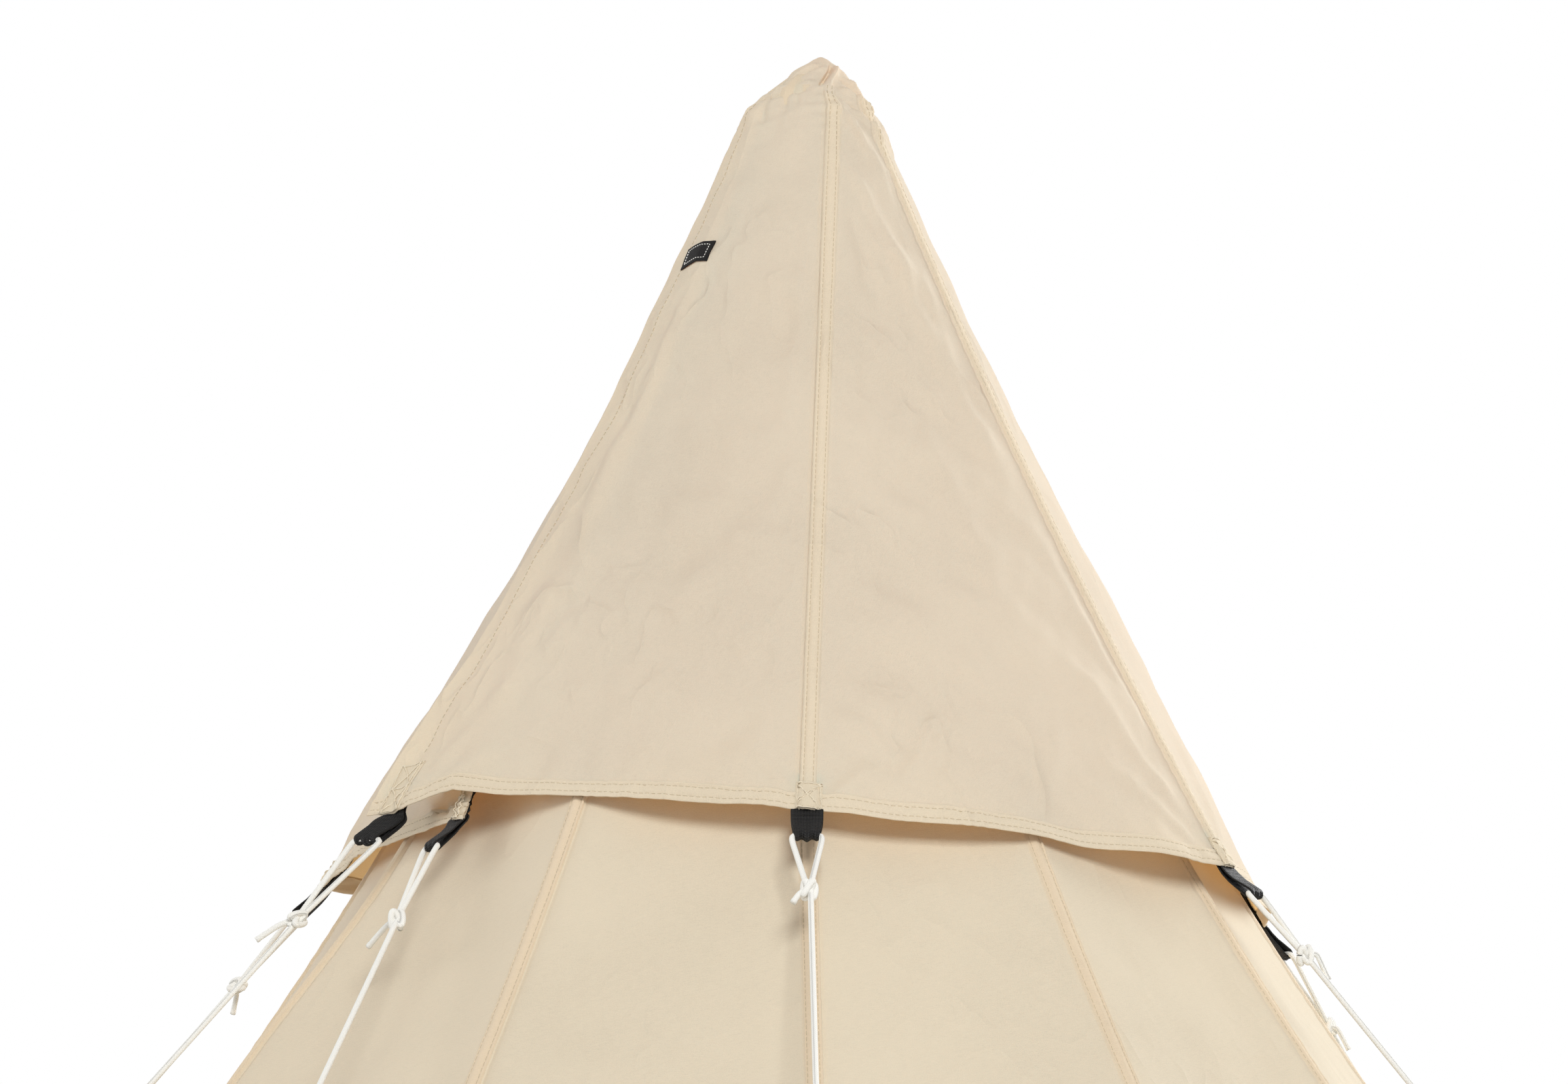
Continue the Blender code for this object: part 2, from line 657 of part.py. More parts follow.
def main():
    clear_scene()
    canvas = make_material("canvas", (0.78, 0.68, 0.52), 0.95)
    cap_canvas = make_material("cap_canvas", (0.74, 0.64, 0.48), 0.95)
    webbing = make_material("webbing", (0.02, 0.02, 0.022), 0.8)
    cord = make_material("cord", (0.86, 0.83, 0.75), 0.85)
    steel = make_material("steel", (0.55, 0.56, 0.57), 0.35, 1.0)
    wood = make_material("wood", (0.50, 0.34, 0.18), 0.6)
    rubber = make_material("rubber", (0.03, 0.03, 0.03), 0.8)
    sheet = make_material("groundsheet", (0.16, 0.17, 0.16), 0.7)
    zip_metal = make_material("zip_metal", (0.25, 0.24, 0.22), 0.4, 1.0)

    build_groundsheet(sheet)
    build_pole(steel, rubber, wood)
    build_wall(canvas)
    build_flap("door_flap_front", -1, canvas)
    build_flap("door_flap_rear", 1, canvas)
    build_zip_slider(zip_metal)
    build_cap_part("rain_cap_front", CAP_FRONT, cap_canvas)
    build_cap_part("rain_cap_rear", CAP_REAR, cap_canvas)
    build_label(webbing)
    build_base_band(webbing)
    for name, azimuth in GUYS.items():
        build_loop(name, webbing)
        tube("guy_line_" + name, guy_route(name), GUY_RADIUS, cord)
        build_runner(name, wood)
        build_peg("guy_peg_" + name, azimuth, GUY_PEG_RADIUS, GUY_PEG_HEIGHT, steel)
    for k in range(360 // SEAM_STEP):
        azimuth = SEAM_STEP * k
        build_peg(f"base_peg_{azimuth:03d}", azimuth, BASE_PEG_RADIUS, WALL_FOOT + 0.012, steel)


main()
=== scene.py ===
"""The looks of a canvas teepee with a wrap-around rain cap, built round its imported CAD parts.

Metres, +Z up. The origin is on the ground at the foot of the pole. An azimuth of 0 is the front, -Y,
and azimuths grow anticlockwise seen from above, so that 90 is the +X side, where the door is.
"""

import math

import bpy
import numpy as np
from mathutils import Matrix, Vector


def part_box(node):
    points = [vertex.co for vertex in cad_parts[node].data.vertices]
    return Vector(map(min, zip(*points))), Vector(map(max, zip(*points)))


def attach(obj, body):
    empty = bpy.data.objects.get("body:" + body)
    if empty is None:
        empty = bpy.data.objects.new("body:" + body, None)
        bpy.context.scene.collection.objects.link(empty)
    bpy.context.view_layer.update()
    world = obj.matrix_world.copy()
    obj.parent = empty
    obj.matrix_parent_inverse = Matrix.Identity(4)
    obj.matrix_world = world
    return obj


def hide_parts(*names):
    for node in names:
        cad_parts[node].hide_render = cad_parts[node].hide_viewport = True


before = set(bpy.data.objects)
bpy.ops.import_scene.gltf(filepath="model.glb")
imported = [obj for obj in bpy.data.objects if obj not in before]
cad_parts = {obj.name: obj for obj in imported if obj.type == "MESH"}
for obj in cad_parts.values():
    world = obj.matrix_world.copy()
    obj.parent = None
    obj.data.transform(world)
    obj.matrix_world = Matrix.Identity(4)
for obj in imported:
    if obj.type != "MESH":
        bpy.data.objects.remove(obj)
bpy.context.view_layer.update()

# ---------------------------------------------------------------- sizes, as the CAD has them

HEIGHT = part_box("rain_cap_front")[1].z
SEAM_STEP = 30
BASE_RADIUS = 1.725
WALL_SLOPE = 0.786
WALL_FOOT = 0.004
WALL_BEND = 1.40
CROWN_LEVEL = 2.44
CROWN_WALL_RADIUS = 0.050
CROWN_SLOPE = 0.36
DOOR_AZIMUTH = 90
DOOR_TOP = WALL_BEND
DOOR_TIP = 1.365
DOOR_FOOT = 0.036
HINGE_GAP = 0.001
ZIP_GAP = 0.0016
SLIDER_ONTO_TEETH = 0.0085  # from the CAD slider, which rides beside the zip, to the teeth

CAP_DOME = 0.058
DOME_RADIUS = 0.059
DOME_PATH = ((0.0, 0.0015), (0.003, 0.0070), (0.010, 0.0155), (0.0165, 0.0235), (0.025, 0.0310),
             (0.034, 0.0395), (0.047, 0.0500), (CAP_DOME, DOME_RADIUS))  # depth below the peak, radius
CAP_CORNERS = {
    "left_outer": (-60.0, 0.387, 1.818),
    "overlap": (-50.0, 0.368, 1.832),
    "front": (-0.6, 0.380, 1.800),
    "right": (60.0, 0.386, 1.775),
    "right_rear": (112.0, 0.430, 1.757),
    "rear": (180.0, 0.460, 1.765),
    "left_rear": (252.0, 0.4475, 1.790),
    "left_inner": (308.9, 0.3686, 1.809),
}
UNDERLAP_DROP = 0.006
FRONT_SEAM_TOP = 0.0215  # the front seam starts this far to the right, under the dome

LOOP_STRAIGHT = 0.003
LOOP_REACH = 0.030
LOOP_EYE = 0.0032
LOOP_SEWN = 0.036
OUTER_LEG = 0.0030  # inside the cap, to the middle of the leg against it
INNER_LEG = 0.0052
CLOTH = 0.0018
WEBBING_THICK = 0.0014
WEBBING_WIDTH = 0.025
GUY_RADIUS = 0.00225
GUYS = {
    "front": 1.0,
    "right": 50.0,
    "right_rear": 127.0,
    "rear": 181.0,
    "left_rear": 260.0,
    "left_inner": -27.0,
    "left_outer": -62.0,
}
GUY_PEG_RADIUS = 2.0
GUY_PEG_HEIGHT = 0.022
BIGHT_RADIUS = 0.0100
TAIL_LENGTH = 0.42
RUNNER_REST = 0.17
RUNNER_SIZE = (0.046, 0.018, 0.010)
RUNNER_BORE = 0.0031

PEG_ROD = 0.0035
PEG_LEAN = math.radians(30)
PEG_TIP = -0.155
BASE_PEG_RADIUS = 1.770
PEG_NECK = 0.024
PEG_HOOK = 0.011
BAND_GAP = 0.0012
BAND_THICK = 0.0022
BAND_HEIGHT = 0.025
BASE_LOOP_REACH = 0.060
BASE_LOOP_EYE = 0.0095
SHEET_RADIUS = 1.66

# ---------------------------------------------------------------- sewing

STITCH = 0.0055  # from one stitch to the next
HEM = 0.016
HEM_ROWS = (0.004, 0.012)  # stitch rows above the hem's edge
HEM_FOLD = 0.0008  # radius of the hem's turned edge
CAP_SEAM_ROWS = (-0.0036, 0.0036)
WALL_SEAM_ROWS = (-0.0044, 0.0045)
FREE_EDGE = 0.022  # the outer layer goes on this far past its last loop
FREE_EDGE_ROW = 0.0015
INNER_EDGE = 0.0125
EDGE_FULL = 0.12  # nearer the pole than this, the strips past the last loops narrow
EDGE_LAY = (0.93, -0.37, 0.0)  # across the outer layer's last strip, which its guy line turns forward


# ---------------------------------------------------------------- vectors


UP = np.array([0.0, 0.0, 1.0])
LEVEL = np.array([1.0, 1.0, 0.0])  # a vector times this keeps only its level part


def ray(azimuth):
    """Level unit vectors that point away from the pole."""
    angle = np.radians(azimuth)
    return np.stack([np.sin(angle), -np.cos(angle), np.zeros_like(angle)], axis=-1)


def along(azimuth):
    """Level unit vectors in which the azimuth grows."""
    angle = np.radians(azimuth)
    return np.stack([np.cos(angle), np.sin(angle), np.zeros_like(angle)], axis=-1)


def polar(azimuth, radius, height):
    azimuth, radius, height = np.broadcast_arrays(*map(np.float64, (azimuth, radius, height)))
    return ray(azimuth) * radius[..., None] + height[..., None] * UP


def unit(v):
    return v / np.maximum(np.linalg.norm(v, axis=-1, keepdims=True), 1e-12)


def smooth_step(t):
    t = np.clip(t, 0.0, 1.0)
    return t * t * (3 - 2 * t)


def plateau(x, low, rise, high, fall):
    """1 in the middle, 0 beyond low and high, with a soft rise and a soft fall inside them."""
    return smooth_step((x - low) / rise) * smooth_step((high - x) / fall)


def bell(x, width):
    return np.exp(-((x / width) ** 2))


def hermite(t, start, leaving, stop, arriving):
    """A cubic from start to stop with these slopes at its ends, for t from 0 to 1."""
    return ((2 * t**3 - 3 * t**2 + 1) * start + (t**3 - 2 * t**2 + t) * leaving
            + (3 * t**2 - 2 * t**3) * stop + (t**3 - t**2) * arriving)


def turn_of(points):
    """The azimuths of points, from -180 to 180."""
    return np.degrees(np.arctan2(points[..., 0], -points[..., 1]))


def run_along(points):
    """Distances along a polyline from its first point."""
    return np.r_[0.0, np.cumsum(np.linalg.norm(np.diff(points, axis=0), axis=1))]


def beside(points, a, b):
    """How far along the line from a to b each point lies, as a share, and its distance from the line."""
    line = b - a
    share = ((points - a) @ line) / (line @ line)
    return share, np.linalg.norm(points - a - np.clip(share, 0, 1)[..., None] * line, axis=2)


def uv_grid(u, v):
    """Texture places of a grid, from values that spread over its rows and columns."""
    return np.stack(np.broadcast_arrays(u, v), axis=-1)


def normals_of(grid):
    """Outward normals of a grid of points whose rows run up or down the tent."""
    down = np.gradient(grid, axis=0)
    across = np.gradient(grid, axis=1)
    n = unit(np.cross(across, down))
    outward = (n * grid * LEVEL).sum(-1, keepdims=True)
    return n * np.where(outward.mean() < 0, -1.0, 1.0)


def waves(points, seed, length, count=10):
    """A smooth random field with features of about that length, from -1 to 1."""
    rng = np.random.default_rng(seed)
    total = np.zeros(points.shape[:-1])
    for _ in range(count):
        direction = unit(rng.normal(size=3))
        k = direction * 2 * np.pi / (length * rng.uniform(0.7, 1.6))
        total += np.sin(points @ k + rng.uniform(0, 2 * np.pi))
    return total / math.sqrt(count * 0.9)


# ---------------------------------------------------------------- materials


class Nodes:
    """A small helper that adds nodes to a material and links them."""

    def __init__(self, name):
        self.material = bpy.data.materials.new(name)
        self.material.use_nodes = True
        self.tree = self.material.node_tree
        self.shader = self.tree.nodes["Principled BSDF"]
        self.output = self.tree.nodes["Material Output"]

    def add(self, kind, **values):
        node = self.tree.nodes.new(kind)
        for key, value in values.items():
            if hasattr(node, key):
                setattr(node, key, value)
            else:
                node.inputs[key.replace("_", " ")].default_value = value
        return node

    def link(self, a, b):
        self.tree.links.new(a, b)

    def coordinates(self, output, scale):
        place = self.add("ShaderNodeTexCoord")
        mapping = self.add("ShaderNodeMapping")
        mapping.inputs["Scale"].default_value = scale
        self.link(place.outputs[output], mapping.inputs["Vector"])
        return mapping.outputs["Vector"]

    def uv(self, scale=(1.0, 1.0, 1.0)):
        return self.coordinates("UV", scale)

    def place(self, scale=(1.0, 1.0, 1.0)):
        return self.coordinates("Object", scale)

    def noise(self, vector, scale, detail=3.0, roughness=0.55):
        node = self.add("ShaderNodeTexNoise", Scale=scale, Detail=detail, Roughness=roughness)
        self.link(vector, node.inputs["Vector"])
        return node.outputs["Fac"]

    def wave(self, vector, scale, direction="X", distortion=0.0):
        node = self.add("ShaderNodeTexWave", Scale=scale, Distortion=distortion)
        node.wave_type = "BANDS"
        node.bands_direction = direction
        self.link(vector, node.inputs["Vector"])
        return node.outputs["Fac"]

    def math(self, operation, a, b):
        node = self.add("ShaderNodeMath")
        node.operation = operation
        for socket, value in zip(node.inputs, (a, b)):
            if isinstance(value, (int, float)):
                socket.default_value = value
            else:
                self.link(value, socket)
        return node.outputs[0]

    def blend(self, a, share_a, b, share_b):
        return self.math("ADD", self.math("MULTIPLY", a, share_a), self.math("MULTIPLY", b, share_b))

    def paint(self, tint, roughness):
        self.link(tint, self.shader.inputs["Base Color"])
        self.link(roughness, self.shader.inputs["Roughness"])

    def ramp(self, factor, stops):
        node = self.add("ShaderNodeValToRGB")
        elements = node.color_ramp.elements
        while len(elements) < len(stops):
            elements.new(0.5)
        for element, (position, colour) in zip(elements, stops):
            element.position = position
            element.color = (*colour, 1.0)
        self.link(factor, node.inputs["Fac"])
        return node.outputs["Color"]

    def bump(self, height, strength, distance):
        node = self.add("ShaderNodeBump", Strength=strength, Distance=distance)
        self.link(height, node.inputs["Height"])
        self.link(node.outputs["Normal"], self.shader.inputs["Normal"])
        return node.outputs["Normal"]

    def span(self, value, low, high):
        node = self.add("ShaderNodeMapRange")
        node.inputs["To Min"].default_value = low
        node.inputs["To Max"].default_value = high
        self.link(value, node.inputs["Value"])
        return node.outputs["Result"]


def shades(colour, *factors):
    return [tuple(c * f for c in colour) for f in factors]


LAYERED_PAINTED_SHADE = (0.90, 0.815, 0.760)  # painted shade: where the cloth is several layers its colour is darkened by this, standing in for the light that comes through them less


def cloth_material(name, colour, glow, translucency, crinkle=0.0):
    """Plain-woven matte canvas that lets warm light through, less so where it is several layers, where its
    colour is also darkened as painted shade.
    """
    m = Nodes(name)
    warp = m.noise(m.uv((1500.0, 130.0, 1.0)), 1.0, 2.0)
    weft = m.noise(m.uv((130.0, 1500.0, 1.0)), 1.0, 2.0)
    weave = m.blend(warp, 0.5, weft, 0.5)
    grain = m.noise(m.place(), 1300.0, 2.0)
    cloud = m.noise(m.place(), 6.0, 4.0)
    mixed = m.blend(grain, 0.35, cloud, 0.25)
    mixed = m.math("ADD", mixed, m.math("MULTIPLY", weave, 0.40))
    low, middle, high = shades(colour, 0.86, 1.0, 1.06)
    tint = m.ramp(mixed, ((0.34, low), (0.50, middle), (0.66, high)))
    layers = m.add("ShaderNodeAttribute", attribute_name="layers").outputs["Fac"]
    # painted shade: the colour is multiplied darker where the cloth is several layers, in the seams and the
    # hem
    dim = m.add("ShaderNodeMix", data_type="RGBA", blend_type="MULTIPLY")
    m.link(layers, dim.inputs["Factor"])
    m.link(tint, dim.inputs[6])
    dim.inputs[7].default_value = (*LAYERED_PAINTED_SHADE, 1.0)
    m.paint(dim.outputs[2], m.span(grain, 0.86, 0.98))
    m.shader.inputs["Specular IOR Level"].default_value = 0.25
    m.shader.inputs["Sheen Weight"].default_value = 0.10
    m.shader.inputs["Sheen Roughness"].default_value = 0.5
    fine = m.blend(weave, 0.6, grain, 0.4)
    height = m.math("MULTIPLY", fine, 0.00035)
    if crinkle:
        for size, mask_size, amount in ((9.0, 4.0, 1.0), (21.0, 7.0, 0.45)):
            lines = m.noise(m.place((1.0, 1.0, 0.55)), size, 2.0)
            lines = m.math("ABSOLUTE", m.math("SUBTRACT", lines, 0.5), 0)
            lines = m.math("SUBTRACT", 1.0, m.math("MINIMUM", m.math("MULTIPLY", lines, 11.0), 1.0))
            mask = m.noise(m.place(), mask_size, 2.0)
            mask = m.math("MAXIMUM", m.math("MULTIPLY", m.math("SUBTRACT", mask, 0.47), 5.0), 0.0)
            sharp = m.math("MULTIPLY", m.math("POWER", lines, 1.6), m.math("MINIMUM", mask, 1.0))
            height = m.math("ADD", height, m.math("MULTIPLY", sharp, crinkle * amount))
    normal = m.bump(height, 1.0, 1.0)
    through = m.add("ShaderNodeBsdfTranslucent")
    through.inputs["Color"].default_value = (*glow, 1.0)
    m.link(normal, through.inputs["Normal"])
    mix = m.add("ShaderNodeMixShader")
    m.link(m.span(layers, translucency, translucency * 0.3), mix.inputs["Fac"])
    m.link(m.shader.outputs[0], mix.inputs[1])
    m.link(through.outputs[0], mix.inputs[2])
    m.link(mix.outputs[0], m.output.inputs["Surface"])
    return m.material


def thread_material(name, colour, hole):
    """Sewing thread; U runs along each stitch, from the hole it leaves to the one it enters. Towards both
    ends the colour darkens to the hole colour, painted shade where the thread dips into the cloth.
    """
    m = Nodes(name)
    vector = m.uv()
    split = m.add("ShaderNodeSeparateXYZ")
    m.link(vector, split.inputs[0])
    fuzz = m.noise(m.place(), 1700.0, 2.0)
    run = m.math("ADD", split.outputs[0], m.math("MULTIPLY", m.math("SUBTRACT", fuzz, 0.5), 0.06))
    low, high = shades(colour, 0.92, 1.04)
    # painted shade: the stitch is darker towards its ends and takes the hole colour where it dips into the
    # cloth
    stops = ((0.06, hole), (0.24, low), (0.5, high), (0.76, low), (0.94, hole))
    m.paint(m.ramp(run, stops), m.span(fuzz, 0.65, 0.85))
    m.bump(fuzz, 0.3, 0.0002)
    return m.material


def webbing_material(name, colour, roughness, pitch):
    """Ribbed polyamide webbing; U runs across it and V along it."""
    m = Nodes(name)
    warp = m.wave(m.uv(), 0.16 / pitch, "X", 0.3)
    weft = m.wave(m.uv(), 0.30 / pitch, "Y", 0.4)
    height = m.blend(warp, 0.6, weft, 0.4)
    fuzz = m.noise(m.place(), 900.0, 2.0)
    # painted highlight and painted shade: the colour follows the rib height, lighter on the crests and darker
    # in the grooves, with random fuzz
    low, high = shades(colour, 0.55, 1.6)
    tint = m.ramp(m.math("MULTIPLY", height, fuzz), ((0.1, low), (0.6, high)))
    m.paint(tint, m.span(fuzz, roughness - 0.08, roughness + 0.12))
    m.shader.inputs["Specular IOR Level"].default_value = 0.35
    m.bump(height, 1.0, 0.0008)
    return m.material


def cord_material(name, colour):
    """Braid: two families of strands that cross; U runs round the cord and V along it, in metres."""
    m = Nodes(name)
    vector = m.uv()
    split = m.add("ShaderNodeSeparateXYZ")
    m.link(vector, split.inputs[0])
    turn = m.math("MULTIPLY", split.outputs[0], 640.0)
    run = m.math("MULTIPLY", split.outputs[1], 520.0)
    left = m.math("SINE", m.math("MULTIPLY", m.math("ADD", turn, run), 6.2832), 0)
    right = m.math("SINE", m.math("MULTIPLY", m.math("SUBTRACT", turn, run), 6.2832), 0)
    braid = m.math("MAXIMUM", left, right)
    height = m.span(braid, 0.0, 1.0)
    fuzz = m.noise(m.place(), 1500.0, 2.0)
    # painted shade: the colour follows the braid's height, darker where the strands dip and cross, mixed with
    # random fuzz in the yarn's tone
    low, middle, high = shades(colour, 0.90, 0.98, 1.03)
    mixed = m.blend(height, 0.7, fuzz, 0.3)
    m.paint(m.ramp(mixed, ((0.15, low), (0.5, middle), (0.9, high))), m.span(fuzz, 0.62, 0.82))
    m.shader.inputs["Sheen Weight"].default_value = 0.15
    m.bump(height, 0.7, 0.0003)
    return m.material


def metal_material(name, colour, roughness, scratches=(400.0, 400.0, 20.0)):
    m = Nodes(name)
    spangle = m.noise(m.place(), 60.0, 4.0)
    brush = m.noise(m.place(scratches), 1.0, 2.0)
    low, high = shades(colour, 0.82, 1.10)
    m.paint(m.ramp(spangle, ((0.35, low), (0.65, high))), m.span(brush, roughness - 0.08, roughness + 0.15))
    m.shader.inputs["Metallic"].default_value = 1.0
    m.bump(brush, 0.08, 0.0002)
    return m.material


def wood_material(name, colour):
    m = Nodes(name)
    rings = m.wave(m.place((1.0, 1.0, 0.25)), 60.0, "X", 6.0)
    pores = m.noise(m.place((500.0, 500.0, 60.0)), 1.0, 3.0)
    mixed = m.blend(rings, 0.6, pores, 0.4)
    low, middle, high = shades(colour, 0.62, 1.0, 1.25)
    m.paint(m.ramp(mixed, ((0.2, low), (0.5, middle), (0.85, high))), m.span(pores, 0.42, 0.62))
    m.bump(mixed, 0.25, 0.0004)
    return m.material


def coated_material(name, colour, roughness, pitch):
    """A moulded or coated surface with a fine woven grain."""
    m = Nodes(name)
    a = m.wave(m.place(), 0.16 / pitch, "X")
    b = m.wave(m.place(), 0.16 / pitch, "Y")
    grid = m.math("MAXIMUM", a, b)
    dirt = m.noise(m.place(), 7.0, 5.0)
    low, high = shades(colour, 0.75, 1.25)
    m.paint(m.ramp(dirt, ((0.3, low), (0.7, high))), m.span(dirt, roughness - 0.1, roughness + 0.1))
    m.bump(grid, 0.3, 0.0003)
    return m.material


WARM = (0.93, 0.50, 0.15)
CANVAS = cloth_material("wall_canvas", (0.840, 0.768, 0.595), WARM, 0.24, crinkle=0.0014)
CAP_CANVAS = cloth_material("cap_canvas", (0.840, 0.803, 0.648), WARM, 0.32, crinkle=0.0028)
PATCH_CANVAS = cloth_material("patch_canvas", (0.685, 0.590, 0.440), WARM, 0.02)
# the second colour of each thread is painted shade in its needle holes
THREAD = thread_material("sewing_thread", (0.55, 0.44, 0.29), (0.12, 0.07, 0.03))
PALE_THREAD = thread_material("pale_thread", (0.74, 0.65, 0.50), (0.74, 0.65, 0.50))
WHITE_THREAD = thread_material("white_thread", (0.90, 0.88, 0.83), (0.30, 0.28, 0.26))
WEBBING = webbing_material("black_webbing", (0.0100, 0.0090, 0.0085), 0.55, 0.0012)
LABEL = webbing_material("black_label", (0.0120, 0.0110, 0.0105), 0.70, 0.0007)
CORD = cord_material("braided_cord", (0.93, 0.915, 0.86))
GALVANISED = metal_material("galvanised_steel", (0.56, 0.57, 0.58), 0.40)
ZIP_METAL = metal_material("zip_metal", (0.42, 0.33, 0.20), 0.34)
WOOD = wood_material("oiled_wood", (0.46, 0.28, 0.13))
RUBBER = coated_material("pole_rubber", (0.025, 0.025, 0.026), 0.70, 0.004)
GROUND_CLOTH = coated_material("coated_groundsheet", (0.075, 0.082, 0.078), 0.55, 0.0025)


# ---------------------------------------------------------------- meshes


def new_object(name, data):
    obj = bpy.data.objects.new(name, data)
    bpy.context.scene.collection.objects.link(obj)
    return obj


def add_piece(name, points, faces, material, body="tent", uv=None, smooth=True, thick=0.0, layers=None):
    """A mesh piece of the tent that rides on a body."""
    mesh = bpy.data.meshes.new(name)
    mesh.from_pydata(np.asarray(points).reshape(-1, 3).tolist(), [], np.asarray(faces).tolist()
                     if isinstance(faces, np.ndarray) else faces)
    if uv is not None:
        layer = mesh.uv_layers.new(name="UVMap")
        index = np.empty(len(mesh.loops), np.int32)
        mesh.loops.foreach_get("vertex_index", index)
        layer.data.foreach_set("uv", np.asarray(uv, np.float32).reshape(-1, 2)[index].ravel())
    if layers is not None:
        mesh.attributes.new("layers", "FLOAT", "POINT").data.foreach_set("value", np.float32(layers).ravel())
    mesh.materials.append(material)
    if smooth:
        mesh.shade_smooth()
    obj = new_object(name, mesh)
    if thick:
        cloth = obj.modifiers.new("Thickness", "SOLIDIFY")
        cloth.thickness = thick
        cloth.offset = -1
        cloth.use_even_offset = False
    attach(obj, body)
    return obj


def grid_faces(rows, columns):
    a = np.arange(rows - 1)[:, None] * columns + np.arange(columns - 1)[None, :]
    return np.stack([a, a + 1, a + 1 + columns, a + columns], axis=-1)


def facing_out(points, faces):
    """The faces, turned so that the outer side faces away from the pole."""
    p = np.asarray(points).reshape(-1, 3)[faces.reshape(-1, 4)]
    n = np.cross(p[:, 1] - p[:, 0], p[:, 3] - p[:, 0])
    out = (n[:, :2] * p.mean(1)[:, :2]).sum()
    faces = faces.reshape(-1, 4)
    return faces if out > 0 else faces[:, ::-1]


def resample(points, step=None, count=None):
    """Points at even distances along a polyline, with their distances."""
    points = np.asarray(points, float)
    run = run_along(points)
    if count is None:
        count = max(2, int(round(run[-1] / step)) + 1)
    at = np.linspace(0.0, run[-1], count)
    return np.stack([np.interp(at, run, points[:, k]) for k in range(3)], axis=1), at


def rounded(points, passes=3):
    """A polyline with its corners cut smooth; the two ends stay."""
    points = np.asarray(points, float)
    for _ in range(passes):
        a, b = points[:-1], points[1:]
        cut = np.stack([a * 0.75 + b * 0.25, a * 0.25 + b * 0.75], axis=1).reshape(-1, 3)
        points = np.concatenate([points[:1], cut, points[-1:]])
    return points


def frames_along(points):
    """Unit tangents and two normals that don't twist along a line of points."""
    tangent = unit(np.gradient(points, axis=0))
    start = np.cross(tangent[0], UP)
    if np.linalg.norm(start) < 1e-3:
        start = np.cross(tangent[0], (1.0, 0.0, 0.0))
    side = [unit(start)]
    for t in tangent[1:]:
        s = side[-1] - t * (side[-1] @ t)
        side.append(unit(s))
    side = np.array(side)
    return tangent, side, np.cross(tangent, side)


def ring_faces(count, sides, closed=False):
    """Faces between rings of points, with a cap at both ends unless the rings close."""
    faces = []
    for k in range(count if closed else count - 1):
        n = (k + 1) % count
        for j in range(sides):
            i = (j + 1) % sides
            faces.append((k * sides + j, k * sides + i, n * sides + i, n * sides + j))
    if not closed:
        faces.append(tuple(range(sides))[::-1])
        faces.append(tuple((count - 1) * sides + j for j in range(sides)))
    return faces


def tube_mesh(points, radius, sides=12, closed=False):
    """(points, faces, uv) of a round tube with capped ends, or of a closed ring. UV is in metres."""
    points = np.asarray(points, float)
    if closed:
        looped = np.concatenate([points[-1:], points, points[:1]])
        _, side, up = frames_along(looped)
        side, up = side[1:-1], up[1:-1]
    else:
        _, side, up = frames_along(points)
    radius = np.broadcast_to(radius, len(points))
    angle = 2 * np.pi * np.arange(sides) / sides
    ring = side[:, None] * np.cos(angle)[None, :, None] + up[:, None] * np.sin(angle)[None, :, None]
    verts = points[:, None] + ring * radius[:, None, None]
    run = run_along(points)
    uv = uv_grid(angle[None] * radius[:, None], run[:, None])
    return verts.reshape(-1, 3), ring_faces(len(points), sides, closed), uv.reshape(-1, 2)


class Sewing:
    """Collects many stitches and makes one piece of them."""

    def __init__(self):
        self.points, self.faces, self.runs, self.count = [], [], [], 0

    def row(self, line, normals, pitch=STITCH, width=0.00085, height=0.00050, length=0.0044):
        """A row of stitches along a line on a cloth whose normals are given."""
        line = np.asarray(line, float)
        run = run_along(line)
        stitches = int(run[-1] / pitch)
        if stitches < 1:
            return
        middle = (np.arange(stitches) + 0.5) * run[-1] / stitches

        def at(where, values):
            return np.stack([np.interp(where, run, values[:, k]) for k in range(3)], axis=1)

        rings = []
        for share, wide, tall in ((-0.5, 0.35, -0.4), (-0.28, 1, 1), (0.28, 1, 1), (0.5, 0.35, -0.4)):
            place = at(middle + share * length, line)
            tangent = unit(at(middle + 0.0005, line) - at(middle - 0.0005, line))
            up = unit(at(middle, normals))
            side = np.cross(tangent, up)
            for x, z in ((-0.5, -0.35), (0.0, tall), (0.5, -0.35)):
                rings.append(place + side * x * width * wide + up * z * height)
        verts = np.stack(rings, axis=1)
        base = np.arange(stitches)[:, None] * 12 + self.count
        quads = []
        for k in range(3):
            for j in range(3):
                i = (j + 1) % 3
                quads.append((k * 3 + j, k * 3 + i, k * 3 + 3 + i, k * 3 + 3 + j))
        self.faces.append(("quad", base, quads))
        self.faces.append(("tri", base, [(2, 1, 0), (9, 10, 11)]))
        self.points.append(verts.reshape(-1, 3))
        self.runs.append(np.tile(np.repeat((0.0, 0.3, 0.7, 1.0), 3), stitches))
        self.count += stitches * 12

    def thread(self, line, radius=0.00032, sides=5):
        """A loose length of thread that lies along a line."""
        verts, faces, _ = tube_mesh(line, radius, sides)
        self.faces.append(("any", None, [tuple(i + self.count for i in f) for f in faces]))
        self.points.append(verts)
        self.runs.append(np.full(len(verts), 0.5))
        self.count += len(verts)

    def piece(self, name, material, slot, body="tent"):
        faces = []
        for kind, base, pattern in self.faces:
            if kind == "any":
                faces += pattern
            else:
                for face in pattern:
                    faces += (base + np.array(face)).tolist()
        points = np.concatenate(self.points)
        runs = np.concatenate(self.runs)
        uv = np.stack([runs, 0 * runs], axis=1)
        return add_piece(name, points, faces, material, body=body, uv=uv)


# ---------------------------------------------------------------- camera, light, floor


